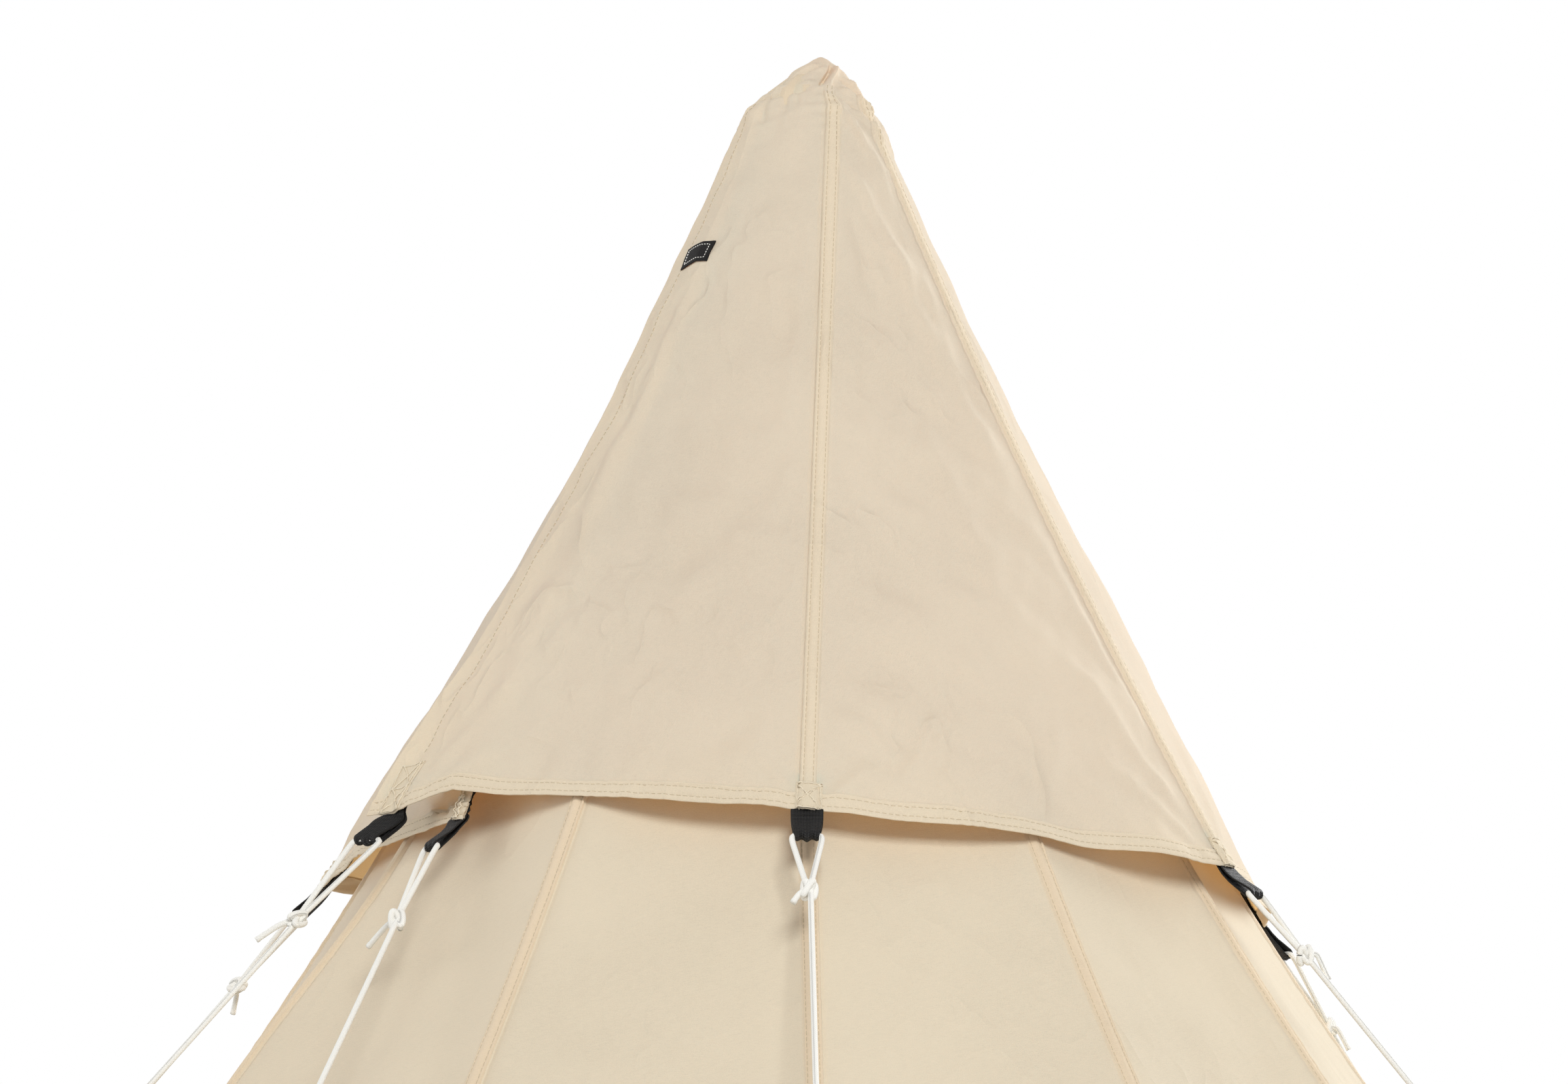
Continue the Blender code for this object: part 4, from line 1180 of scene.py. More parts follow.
def build_label(grid):
    """A blank black patch with a rectangle of pale stitches inside its border."""
    azimuth, share = -52, 0.222
    up = CAP_SLOPE * (1 - share)
    _, radius, _ = corner_line("left_outer", np.array([share]))
    middle = math.radians(azimuth + 60) * float(radius[0])
    columns, rows = 25, 19
    x = np.linspace(-0.016, 0.016, columns)[None, :] + middle
    d = np.linspace(0.012, -0.012, rows)[:, None] + up
    place, normal = grid.at("left_outer", x + 0 * d, d + 0 * x)
    edge = np.minimum(np.abs(x - middle - 0.016), np.abs(x - middle + 0.016))
    curl = 0.0004 * waves(place, 21, 0.012) * smooth_step((0.006 - edge) / 0.006)
    place = place + normal * (0.0017 + curl)[..., None]
    uv = uv_grid(x, d)
    faces = facing_out(place, grid_faces(rows, columns))
    patch = add_piece("label_patch", place, faces, LABEL, uv=uv, thick=0.0009)
    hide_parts("cap_label")
    normal = normals_of(place)
    sewing = Sewing()
    ring = [(3, c) for c in range(3, 22)] + [(r, 21) for r in range(3, 16)]
    ring += [(15, c) for c in range(21, 2, -1)] + [(r, 3) for r in range(15, 2, -1)]
    line = np.array([place[r, c] for r, c in ring])
    normals = np.array([normal[r, c] for r, c in ring])
    sewing.row(line, normals, pitch=0.0026, width=0.0009, height=0.0006, length=0.0021)
    sewing.piece("label_stitching", WHITE_THREAD, "cord")


# ---------------------------------------------------------------- webbing loops, guy lines, knots

# knot from the hem, its tail's length, and where the tail points: across, then up
KNOTS = {
    "front": (0.090, 0.013, -0.50, -0.45),
    "right": (0.100, 0.026, 0.10, -0.6),
    "right_rear": (0.112, 0.024, -0.3, -0.5),
    "rear": (0.100, 0.030, 0.5, -0.3),
    "left_rear": (0.112, 0.028, -0.3, -0.7),
    "left_inner": (0.116, 0.030, -1.1, -0.30),
    "left_outer": (0.118, 0.026, -0.5, -0.2),
}


# which way the width of a loop lies; the others lie along the hem
LOOP_LIES = {
    "left_outer": (0.965, -0.262, 0.0),
    "left_inner": (0.47, -0.883, 0.0),
    "right": (0.56, 0.828, 0.0),
}


def loop_width(name):
    """The level direction in which a loop's width lies."""
    return np.array(LOOP_LIES[name]) if name in LOOP_LIES else along(CAP_CORNERS[name][0])


def loop_slope(name):
    """The loop's slope in the upright plane through its corner, as (outward, up)."""
    _, radius, height = hem_corner(name)
    return unit(np.array([GUY_PEG_RADIUS - radius, GUY_PEG_HEIGHT - height]))


def in_plane(name, point):
    """A (radius, height) in a corner's upright plane as a point."""
    azimuth, _, _ = hem_corner(name)
    return polar(azimuth, point[..., 0], point[..., 1])


def guy_axes(name):
    """Start, direction, the side on which the tail lies, and the centre line's end at the peg."""
    azimuth, radius, height = hem_corner(name)
    away = loop_slope(name) * (LOOP_REACH + LOOP_EYE + GUY_RADIUS)
    start = polar(azimuth, radius + away[0], height + away[1])
    peg = polar(GUYS[name], GUY_PEG_RADIUS, GUY_PEG_HEIGHT)
    line = unit(peg - start)
    side = unit(np.cross(line, UP))
    end = peg - side * BIGHT_RADIUS
    return start, unit(end - start), side, end


def build_loop(name, grid):
    """The webbing sewn to the inside of the cap, down round the cord and back up inside it."""
    azimuth, radius, height = hem_corner(name)
    _, high_radius, high_height = corner_line(name, 0.9)
    hem = np.array([radius, height])
    up_cloth = unit(np.array([high_radius, high_height]) - hem)
    out_cloth = np.array([up_cloth[1], -up_cloth[0]])
    away = loop_slope(name)
    across = np.array([-away[1], away[0]])
    outer = hem - out_cloth * (CLOTH + WEBBING_THICK / 2 + 0.0006)
    inner = outer - out_cloth * (WEBBING_THICK + 0.0008)
    eye = hem + away * LOOP_REACH
    turn = [eye + (across * math.cos(a) + away * math.sin(a)) * LOOP_EYE for a in np.linspace(0, math.pi, 13)]
    route = [outer + up_cloth * LOOP_SEWN, outer - up_cloth * LOOP_STRAIGHT, *turn]
    route += [inner - up_cloth * LOOP_STRAIGHT, inner + up_cloth * LOOP_SEWN]
    flat = np.array([[p[0], 0.0, p[1]] for p in route])
    soft = rounded(flat, 2)
    line, run = resample(soft, step=0.00042)
    tangent = unit(np.gradient(line, axis=0))
    normal = np.stack([-tangent[:, 2], tangent[:, 1], tangent[:, 0]], axis=1)
    middle = run[-1] / 2
    up_hem = LOOP_SEWN - np.minimum(run, run[-1] - run)
    from_eye = np.abs(run - middle)
    bunch = bell(from_eye, 0.017)
    ribs = np.abs(np.sin(np.pi * run / 0.00165))
    width = WEBBING_WIDTH * (1 - 0.20 * bunch)
    columns = 17
    t = np.linspace(-1, 1, columns)
    out_dir = ray(azimuth)
    free = smooth_step((LOOP_REACH + 0.012 - np.abs(run - middle)) / 0.014)[:, None, None]
    wide_dir = unit(along(azimuth) * (1 - free) + loop_width(name) * free)
    shape = []
    for sign in (1, -1):
        order = t if sign > 0 else t[::-1]
        edge = 1 - 0.55 * np.abs(order) ** 12
        thick = WEBBING_THICK / 2 * edge[None, :] + 0.00030 * ribs[:, None] * edge[None, :]
        shift = line[:, None] + normal[:, None] * (sign * thick)[..., None]
        wave = 0.0014 * bunch[:, None] * np.cos(order * 2.6 * np.pi)[None, :]
        cup = -0.0020 * bunch[:, None] * (order[None, :] ** 2)
        lift = (wave + cup)[..., None] * np.array([away[0], 0.0, away[1]])
        shift = shift + lift
        world = (out_dir * shift[..., :1] + wide_dir * (order[None, :, None] * width[:, None, None] / 2)
                 + UP * shift[..., 2:])
        sewn = up_hem > 0
        rows = np.nonzero(sewn)[0][::3]
        across = order[None, :] * width[rows, None] / 2
        place, lie = grid.at(name, across, up_hem[rows, None] + 0 * across)
        first_leg = (run[rows] < middle)[:, None]
        deep = np.where(first_leg, OUTER_LEG, INNER_LEG) - np.where(first_leg, 1, -1) * sign * thick[rows]
        under = place - lie * deep[..., None]
        spread = np.stack([[np.interp(run[sewn], run[rows], under[:, j, k]) for k in range(3)]
                           for j in range(columns)], axis=0).transpose(2, 0, 1)
        left = np.nonzero(sewn)[0]
        hold = smooth_step(up_hem[left] / 0.010)[:, None, None]
        world[left] = world[left] * (1 - hold) + spread * hold
        shape.append(world)
    ring = np.concatenate(shape, axis=1)
    faces = ring_faces(*ring.shape[:2])
    u = np.concatenate([t, t[::-1]]) * WEBBING_WIDTH / 2
    uv = uv_grid(u[None, :], run[:, None])
    piece = add_piece("guy_loop_" + name, ring, faces, WEBBING, uv=uv)
    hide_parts("webbing_loop_" + name)


def knot_mesh(centre, line, wide, size, seed):
    """A tied overhand knot round the cord: one closed turn that crosses itself three times."""
    rng = np.random.default_rng(seed)
    t = np.linspace(0, 2 * np.pi, 109)[:-1] + rng.uniform(0, 2)
    x = np.sin(t) + 2 * np.sin(2 * t)
    y = np.cos(t) - 2 * np.cos(2 * t)
    z = -np.sin(3 * t)
    deep = unit(np.cross(line, wide))
    axis = unit(line + deep * rng.uniform(0.45, 0.80) * rng.choice((-1, 1)) + wide * rng.uniform(-0.3, 0.3))
    first = unit(np.cross(axis, deep))
    second = np.cross(axis, first)
    path = first * (x * 0.76)[:, None] + second * (y * 0.76)[:, None] + axis * (z * 2.5)[:, None]
    return tube_mesh(centre + path * size, GUY_RADIUS * 1.12, 12, closed=True)


def cord_piece(name, mesh):
    points, faces, uv = mesh
    return add_piece(name, points, faces, CORD, uv=uv)


def build_guy(name):
    """One guy line: a V of cord through the webbing, its knot, the long line, the turn round the peg
    and the tail through the runner to its stopper knot."""
    _, radius, height = hem_corner(name)
    start, line, side, end = guy_axes(name)
    knot_run, tail, tail_across, tail_up = KNOTS[name]
    away = loop_slope(name)
    wide = loop_width(name)
    eye = in_plane(name, np.array([radius, height]) + away * (LOOP_REACH - 0.0004))
    away3 = in_plane(name, away) - in_plane(name, np.zeros(2))
    first_knot = start + line * (knot_run - LOOP_REACH - LOOP_EYE - GUY_RADIUS)
    half = 0.0098

    def strand(sign):
        """One leg of the V, from the webbing's eye to the knot."""
        shape = [eye, eye + wide * sign * half * 0.7, eye + wide * sign * (half + 0.0012) + away3 * 0.0010,
                 eye + wide * sign * (half + 0.0016) + away3 * 0.0055]
        gap = first_knot - line * 0.004 + wide * sign * 0.0014 - shape[-1]
        shape += [shape[3] + gap * k for k in (0.3, 0.6, 0.85, 1.0)]
        return rounded(shape, 3)

    centre = end + side * BIGHT_RADIUS
    straight = [first_knot + (end - first_knot) * k / 12 for k in range(1, 13)]
    bight = [centre + line * BIGHT_RADIUS * math.sin(a) - side * BIGHT_RADIUS * math.cos(a)
             for a in np.linspace(0, math.pi, 13)[1:-1]]
    back = end + side * 2 * BIGHT_RADIUS
    tail_line = [back - line * (TAIL_LENGTH * k / 6) for k in range(7)]
    main = strand(1)
    route = np.concatenate([main, straight, bight, tail_line])
    near, _ = resample(route[:len(main) + 1], step=0.0022)
    run, _ = resample(route[len(main):len(main) + 12], step=0.030)
    turn = rounded(route[len(main) + 11:len(main) + 11 + 13], 1)
    rest, _ = resample(route[-7:], step=0.030)
    path = np.concatenate([near, run[1:], turn[1:], rest[1:]])
    keep = np.r_[True, np.linalg.norm(np.diff(path, axis=0), axis=1) > 1e-4]
    path = path[keep]
    cord = cord_piece("guy_cord_" + name, tube_mesh(path, GUY_RADIUS, 14))
    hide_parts("guy_line_" + name)
    seed = list(GUYS).index(name)
    strand_mesh = tube_mesh(resample(strand(-1), step=0.0020)[0], GUY_RADIUS, 14)
    goes_with = [cord_piece("guy_strand_" + name, strand_mesh),
                 cord_piece("guy_knot_" + name, knot_mesh(first_knot, line, wide, 0.00235, seed)),
                 cord_piece("stopper_knot_" + name, knot_mesh(path[-1], line, side, 0.0017, seed + 20))]
    heading = unit(line * 0.55 + wide * tail_across + UP * tail_up)
    bend = unit(line * 0.2 + wide * tail_across * 1.6 - UP * tail_up * 0.4)
    shape = [first_knot,
             first_knot + bend * tail * 0.35 + line * 0.003,
             first_knot + bend * tail * 0.4 + heading * tail * 0.35,
             first_knot + bend * tail * 0.45 + heading * tail]
    shape = resample(rounded(shape, 3), step=0.0018)[0]
    radii = np.full(len(shape), GUY_RADIUS)
    radii[-2:] = GUY_RADIUS * np.array([1.12, 1.05])
    goes_with.append(cord_piece("knot_tail_" + name, tube_mesh(shape, radii, 12)))


# ---------------------------------------------------------------- canvas wall and door


def wall_radius(height):
    """Pole to a seam, outside the wall."""
    height = np.asarray(height, float)
    span = CROWN_LEVEL - WALL_BEND
    t = np.clip((height - WALL_BEND) / span, 0, 1)
    start = BASE_RADIUS - WALL_SLOPE * WALL_BEND
    curve = hermite(t, start, -WALL_SLOPE * span, CROWN_WALL_RADIUS, -CROWN_SLOPE * span)
    return np.where(height <= WALL_BEND, BASE_RADIUS - WALL_SLOPE * height, curve)


def door_side(side):
    """The hinge line of one flap, as its foot and its top: side is -1 or 1."""
    corner = polar(DOOR_AZIMUTH + side * SEAM_STEP, BASE_RADIUS, 0.0)
    centre = polar(DOOR_AZIMUTH, BASE_RADIUS, 0.0)
    return (corner + centre) / 2, polar(DOOR_AZIMUTH, wall_radius(DOOR_TOP), DOOR_TOP)


def door_chord(side):
    """The level direction from the door's middle to one of its sides, -1 or 1."""
    corner = polar(DOOR_AZIMUTH + side * SEAM_STEP, BASE_RADIUS, 0.0)
    return unit(corner - polar(DOOR_AZIMUTH, BASE_RADIUS, 0.0))


def on_line(foot, top, height):
    """Points at these heights on the line through foot and top."""
    share = (np.asarray(height) - foot[2]) / (top[2] - foot[2])
    return foot + (top - foot) * share[..., None]


WALL_BEFORE = (0.0120, 0.0085, 0.0068, 0.0058, 0.0050, 0.0044, 0.0038, 0.0015)
WALL_AFTER = (0.0, 0.0020, 0.0039, 0.0045, 0.0051, 0.0060, 0.0065, 0.0070, 0.0076, 0.0083, 0.0091, 0.0120)
WALL_BETWEEN = 14  # columns of a panel between those beside its seams
ALONG_WALL = 1.27  # metres along the wall for a metre of height
# soft upright folds of the wall: azimuth and height of both ends, height of the fold, half width
WALL_FOLDS = (
    (-46, 1.80, -44, 1.50, 0.0022, 0.012),
    (-40, 1.74, -41, 1.40, 0.0016, 0.009),
    (-52, 1.78, -50, 1.55, -0.0016, 0.012),
    (-20, 1.80, -14, 1.35, 0.0014, 0.016),
    (14, 1.80, 16, 1.30, 0.0014, 0.018),
    (41, 1.76, 47, 1.55, 0.0016, 0.012),
    (51, 1.72, 44, 1.45, 0.0014, 0.014),
    (71, 1.75, 74, 1.20, 0.0020, 0.014),
)


# how the guy lines draw the wall's seams out of place under the cap: degrees round, then outward
DRAWN = {-60: (-6.7, 0.010), -30: (0.5, 0.0), 0: (1.8, 0.0), 30: (1.4, 0.0), 60: (1.0, 0.0), 90: (0.0, 0.009)}
PRESSED = {-60: 0.0170}  # how far the cap presses a seam back in, at its hem
DRAWN_ASIDE = -0.015


def seam_line(index, radius, height):
    """A seam of the wall, from its foot to the crown."""
    azimuth = SEAM_STEP * index
    turn, out = DRAWN.get((azimuth + 180) % 360 - 180, (0.0, 0.0))
    drawn = smooth_step((height - 0.8) / 0.75)
    crown = smooth_step((2.42 - height) / 0.30)
    out = out - PRESSED.get((azimuth + 180) % 360 - 180, 0.0) * smooth_step((height - 1.60) / 0.19)
    place = polar(azimuth + turn * drawn, radius + out * drawn * crown, height)
    place[:, 0] += DRAWN_ASIDE * drawn * crown
    return place


def build_wall():
    low = np.array([0.004, 0.0046, 0.006, 0.008, 0.016, 0.024])
    levels = np.concatenate([low, np.linspace(0.05, 1.36, 62), [1.378, 1.392, 1.3995, 1.4005, 1.412],
                             np.linspace(1.43, 1.84, 60), np.linspace(1.87, 2.44, 22),
                             [2.452, 2.464, 2.473, 2.4805, 2.4845, 2.4865]])
    radius = wall_radius(np.minimum(levels, CROWN_LEVEL))
    top = levels > CROWN_LEVEL
    radius[top] = np.interp(levels[top], [2.44, 2.464, 2.4805, 2.4865], [0.050, 0.038, 0.018, 0.005])
    columns, seams, distance, calm, col = [], {}, [], [], 0
    first = -9  # the wall is drawn from the seam at -270, which is the door's, round to the door again
    for index in range(first, first + 12):
        p0, p1 = seam_line(index, radius, levels), seam_line(index + 1, radius, levels)
        door_first, door_last = index == first, index == first + 11
        below = levels < DOOR_TOP
        if door_first:
            foot, peak = door_side(1)
            p0 = np.where(below[:, None], on_line(foot, peak, levels), p0)
            p0 += door_chord(1) * HINGE_GAP * below[:, None]
        if door_last:
            foot, peak = door_side(-1)
            p1 = np.where(below[:, None], on_line(foot, peak, levels), p1)
            p1 += door_chord(-1) * HINGE_GAP * below[:, None]
        length = np.linalg.norm(p1 - p0, axis=1)
        u = panel_share(length, WALL_AFTER, WALL_BETWEEN, WALL_BEFORE, 0.06)
        if door_last:
            u = np.concatenate([u, np.ones_like(u[:, :1])], axis=1)
        cloth = p0[:, None] + (p1 - p0)[:, None] * u[..., None]
        x0, x1 = u * length[:, None], (1 - u) * length[:, None]
        sway = np.sin(np.pi * u) * (0.004 * plateau(levels, 0, 0.4, 2.3, 0.5))[:, None]
        cloth = cloth - unit(cloth * LEVEL) * sway[..., None]
        side = np.where(x0 < x1, x0, -x1)
        hinge = np.ones_like(u)
        if door_first or door_last:
            hinge = np.where(below[:, None], x0 if door_first else x1, 1.0)
        if door_first:
            side = np.where(x0 < x1, np.where(below[:, None], 0.5, x0), -x1)
        if door_last:
            side = np.where(x0 < x1, x0, np.where(below[:, None], 0.5, -x1))
        seams[index] = col
        distance.append(side)
        calm.append(smooth_step((hinge - 0.002) / 0.06))
        columns.append(cloth)
        col += u.shape[1]
    points = np.concatenate(columns, axis=1)
    side = np.concatenate(distance, axis=1)
    grid = Grid(points, levels)
    grid.seams = seams
    lift = 0.0014 * plateau(side, -0.0070, 0.0014, 0.0070, 0.0005)
    lift += 0.0009 * bell(side - 0.0060, 0.0012)
    lift -= 0.0010 * bell(side - 0.0082, 0.0011)
    lift -= 0.00065 * sum(bell(side - x, 0.0008) for x in WALL_SEAM_ROWS)
    scale = np.minimum(1.0, radius / 0.10)[:, None]
    dents = 0.0020 * waves(points, 31, 0.40) + 0.0009 * waves(points, 32, 0.12)
    dents += 0.00025 * waves(points, 33, 0.03)
    dents *= smooth_step((np.abs(side) - 0.004) / 0.06) * smooth_step(levels / 0.06)[:, None]
    folds = np.zeros_like(side)
    for a0, z0, a1, z1, height, width in WALL_FOLDS:
        t, near = beside(points, *(polar(a, wall_radius(z) * 0.975, z) for a, z in ((a0, z0), (a1, z1))))
        folds += height * plateau(t, 0, 0.2, 1, 0.4) * bell(np.maximum(near - 0.012, 0), width)
    pucker = 0.0003 * np.sin(2 * np.pi * levels[:, None] / 0.0170 + 3 * waves(points, 34, 0.06))
    lift += pucker * bell(np.abs(side) - 0.009, 0.006)
    total = (lift + (dents * 0.8 + folds) * np.concatenate(calm, axis=1)) * scale
    grid.points = points + grid.normals * total[..., None]
    grid.measure()
    rows, width = grid.points.shape[:2]
    faces = facing_out(grid.points, grid_faces(rows, width))
    uv = np.stack([grid.run, levels[:, None] * ALONG_WALL * np.ones_like(grid.run)], axis=-1)
    # where the cloth is several layers: less light comes through there, and its colour is darkened there as
    # painted shade
    layers = plateau(side, -0.0072, 0.0008, 0.0074, 0.0006)
    wall = add_piece("canvas_wall", grid.points, faces, CANVAS, uv=uv, layers=layers)
    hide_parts("wall_front", "wall_door_side", "wall_rear", "wall_left")

    sewing = Sewing()
    crown = int(np.searchsorted(levels, 2.40))
    door = int(np.searchsorted(levels, DOOR_TOP))
    for index in range(first, first + 12):
        bottom = 3 if index != first else door
        for offset in WALL_SEAM_ROWS:
            if offset > 0:
                column = seams[index] + WALL_AFTER.index(offset)
            elif index == first:
                column = width - 1 - len(WALL_BEFORE) + WALL_BEFORE.index(-offset)
            else:
                column = seams[index] - len(WALL_BEFORE) + WALL_BEFORE.index(-offset)
            grid.sew(sewing, slice(bottom, crown), column)
    for column in (4, width - 5):
        grid.sew(sewing, slice(3, door - 2), column)
    grid.sew(sewing, 4, slice(None))
    sewing.piece("wall_stitching", THREAD, "canvas")
    return wall


def build_flap(name, side):
    """A triangular door flap between its hinge line and the zip, with its hems and its row of teeth."""
    foot, top = door_side(side)
    zip_foot = polar(DOOR_AZIMUTH, BASE_RADIUS, 0.0)
    inward = -door_chord(side)
    levels = np.concatenate([[DOOR_FOOT, DOOR_FOOT + 0.001, DOOR_FOOT + 0.004],
                             np.linspace(DOOR_FOOT + 0.012, DOOR_TIP, 66)])
    hinge = on_line(foot, top, levels) + inward * HINGE_GAP
    free = on_line(zip_foot, top, levels) - inward * ZIP_GAP
    u = np.concatenate([[0, 0.004, 0.012, 0.02], np.linspace(0.05, 0.92, 22), [0.955, 0.975, 0.99, 1.0]])
    points = hinge[:, None] + (free - hinge)[:, None] * u[None, :, None]
    normal = unit(np.cross(free[0] - hinge[0], hinge[-1] - hinge[0]))
    normal = normal * (1 if normal[0] > 0 else -1)
    span = np.linalg.norm(free - hinge, axis=1)[:, None]
    calm = smooth_step(u * span / 0.06) * smooth_step((1 - u) * span / 0.06)
    dents = (0.0026 * waves(points, 41 + side, 0.30) + 0.0010 * waves(points, 43 + side, 0.10)) * calm
    sag = -0.006 * np.sin(np.pi * u)[None, :] * np.minimum(1.0, span / 0.3)
    points = points + normal * (dents + sag)[..., None]
    faces = facing_out(points, grid_faces(*points.shape[:2]))
    uv = uv_grid(u[None] * span, levels[:, None] * ALONG_WALL)
    cloth = add_piece(name + "_cloth", points, faces, CANVAS, body=name, uv=uv, thick=0.0010)
    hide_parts(name)

    sewing = Sewing()
    normals = np.broadcast_to(normal, points.shape)
    for shift in (0.010, 0.020):
        line = on_line(zip_foot, top, levels[3:-3]) - inward * (ZIP_GAP + shift)
        sewing.row(line + normal * 0.0003, normals[3:-3, 0])
    line = on_line(foot, top, levels[3:-3]) + inward * 0.008
    sewing.row(line + normal * 0.0003, normals[3:-3, 0])
    base = hinge[0] + (free[0] - hinge[0]) * u[:, None] + np.array([0.0, 0.0, 0.012])
    sewing.row(base[2:-2] + normal * 0.0003, normals[0, 2:-2])
    stitching = sewing.piece(name + "_stitching", THREAD, "canvas", body=name)

    levels = np.linspace(DOOR_FOOT + 0.004, DOOR_TIP - 0.010, 520)
    teeth = on_line(zip_foot, top, levels) - inward * 0.0002
    up = unit(top - zip_foot)
    box = np.array([(x, y, z) for x in (-1, 1) for y in (-1, 1) for z in (-1, 1)])
    size = np.array([0.0016, 0.0009, 0.0012])
    corners = box * size
    shaped = corners[:, :1] * -inward + corners[:, 1:2] * up + corners[:, 2:] * normal
    stagger = up * (0.0016 if side > 0 else 0.0)
    verts = (teeth[:, None] - inward * 0.0013 + stagger + shaped[None]).reshape(-1, 3)
    quads = np.array([(0, 1, 3, 2), (4, 6, 7, 5), (0, 4, 5, 1), (2, 3, 7, 6), (0, 2, 6, 4), (1, 5, 7, 3)])
    if np.dot(np.cross(-inward, up), normal) < 0:
        quads = quads[:, ::-1]
    quads = (quads[None] + np.arange(len(teeth))[:, None, None] * 8).reshape(-1, 4)
    row = add_piece(name + "_teeth", verts, quads, ZIP_METAL, body=name, smooth=False)
    tape_u = np.array([0.0026, 0.0032, 0.0050, 0.0110, 0.0140, 0.0146])
    sampled = levels[::8]
    tape = on_line(zip_foot, top, sampled)[:, None] - inward * tape_u[None, :, None]
    tape = tape + normal * np.array([0.0004, 0.0009, 0.0010, 0.0010, 0.0009, 0.0004])[None, :, None]
    uv = uv_grid(tape_u[None], sampled[:, None])
    faces = facing_out(tape, grid_faces(*tape.shape[:2]))
    strip = add_piece(name + "_zip_tape", tape, faces, LABEL, body=name, uv=uv, thick=0.0006)
    return cloth, [stitching, row, strip]


def build_door_gusset():
    """A small piece of cloth behind the tips of the flaps, sewn inside the wall above the zip."""
    levels = np.linspace(DOOR_TIP - 0.010, DOOR_TOP + 0.004, 9)
    middle = polar(DOOR_AZIMUTH, wall_radius(levels) - 0.0050, levels)
    foot, top = door_side(1)
    half = np.linalg.norm(on_line(foot, top, levels[0]) - middle[0]) + 0.006
    across = np.array([-1.0, -0.5, 0.0, 0.5, 1.0]) * half
    sides = np.array([door_chord(1) if x >= 0 else -door_chord(-1) for x in across])
    points = middle[:, None] + sides * across[:, None] * np.linspace(1.0, 0.35, len(levels))[:, None, None]
    uv = uv_grid(across[None], levels[:, None])
    faces = facing_out(points, grid_faces(*points.shape[:2]))
    return add_piece("door_gusset", points, faces, CANVAS, uv=uv, thick=0.0008)


def bevelled(name, outline, holes, depth, bevel, matrix, material, body):
    """A flat shape with holes, extruded both ways, with rounded edges."""
    curve = bpy.data.curves.new(name, "CURVE")
    curve.dimensions = "2D"
    curve.fill_mode = "BOTH"
    curve.extrude = depth / 2 - bevel
    curve.bevel_depth = bevel
    curve.bevel_resolution = 3
    curve.offset = -bevel
    for shape in [outline, *holes]:
        spline = curve.splines.new("POLY")
        spline.points.add(len(shape) - 1)
        for point, (x, y) in zip(spline.points, shape):
            point.co = (x, y, 0.0, 1.0)
        spline.use_cyclic_u = True
    made = new_object(name + "_shape", curve)
    made.matrix_world = matrix
    bpy.context.view_layer.update()
    graph = bpy.context.evaluated_depsgraph_get()
    mesh = bpy.data.meshes.new_from_object(made.evaluated_get(graph))
    mesh.transform(matrix)
    bpy.data.objects.remove(made)
    mesh.materials.clear()
    mesh.materials.append(material)
    mesh.shade_smooth()
    mesh.set_sharp_from_angle(angle=math.radians(40))
    obj = new_object(name, mesh)
    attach(obj, body)
    return obj


def to_matrix(origin, x, y, z):
    """The matrix of a frame with this origin and these axes."""
    rows = Matrix((Vector(x), Vector(y), Vector(z))).transposed().to_4x4()
    return Matrix.Translation(Vector(origin)) @ rows


def build_slider():
    """The zip's slider with its pull tab."""
    zip_foot = polar(DOOR_AZIMUTH, BASE_RADIUS, 0.0)
    top = polar(DOOR_AZIMUTH, wall_radius(DOOR_TOP), DOOR_TOP)
    up = unit(top - zip_foot)
    chord = door_chord(-1)
    out = np.cross(chord, up)
    out = out if out[0] > 0 else -out
    low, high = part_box("zip_slider")
    place = (np.array(low) + np.array(high)) / 2 - up * 0.0275 - chord * SLIDER_ONTO_TEETH
    body = [(-0.0042, 0.0), (0.0042, 0.0), (0.0060, 0.0060), (0.0048, 0.0150), (0.0, 0.0172),
            (-0.0048, 0.0150), (-0.0060, 0.0060)]
    axes = chord, up, np.cross(chord, up)
    slider = bevelled("zip_slider_body", body, [], 0.0040, 0.0008, to_matrix(place, *axes),
                      ZIP_METAL, "zip_slider")
    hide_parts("zip_slider")
    turn = np.linspace(-np.pi / 2, 1.5 * np.pi, 25)[:-1]
    tab = [(0.0032 * np.cos(a), 0.034 + 0.017 * np.sin(a)) for a in turn]
    hole = [(0.0015 * np.cos(a), 0.046 + 0.0015 * np.sin(a)) for a in turn[::-1]]
    bevelled("zip_pull", tab, [hole], 0.0016, 0.0004, to_matrix(place + out * 0.0008, *axes),
             ZIP_METAL, "zip_slider")


# ---------------------------------------------------------------- pegs, runners, base, ground


def build_peg(name, node, azimuth, radius, height):
    """A round wire peg with a hooked head, driven in at a slant; it holds at this radius and height."""
    down = ray(azimuth) * -math.sin(PEG_LEAN) + np.array([0.0, 0.0, -math.cos(PEG_LEAN)])
    out = ray(azimuth) * math.cos(PEG_LEAN) + np.array([0.0, 0.0, -math.sin(PEG_LEAN)])
    hold = polar(azimuth, radius, height)
    neck = hold - down * PEG_NECK
    centre = neck + out * PEG_HOOK
    angles = np.linspace(0, math.pi, 19)
    turn = [centre - (out * math.cos(a) + down * math.sin(a)) * PEG_HOOK for a in angles]
    tip = hold + down * ((hold[2] - PEG_TIP) / math.cos(PEG_LEAN))
    path = [tip, tip - down * 0.004, tip - down * 0.012, tip - down * 0.020, hold, *turn,
            turn[-1] + down * 0.0112, turn[-1] + down * 0.012]
    radii = [0.0008, 0.0020, 0.0031, PEG_ROD, PEG_ROD] + [PEG_ROD] * 19 + [PEG_ROD, PEG_ROD * 0.8]
    verts, faces, uv = tube_mesh(np.array(path), np.array(radii), 14)
    piece = add_piece(name, verts, faces, GALVANISED, uv=uv)
    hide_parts(node)


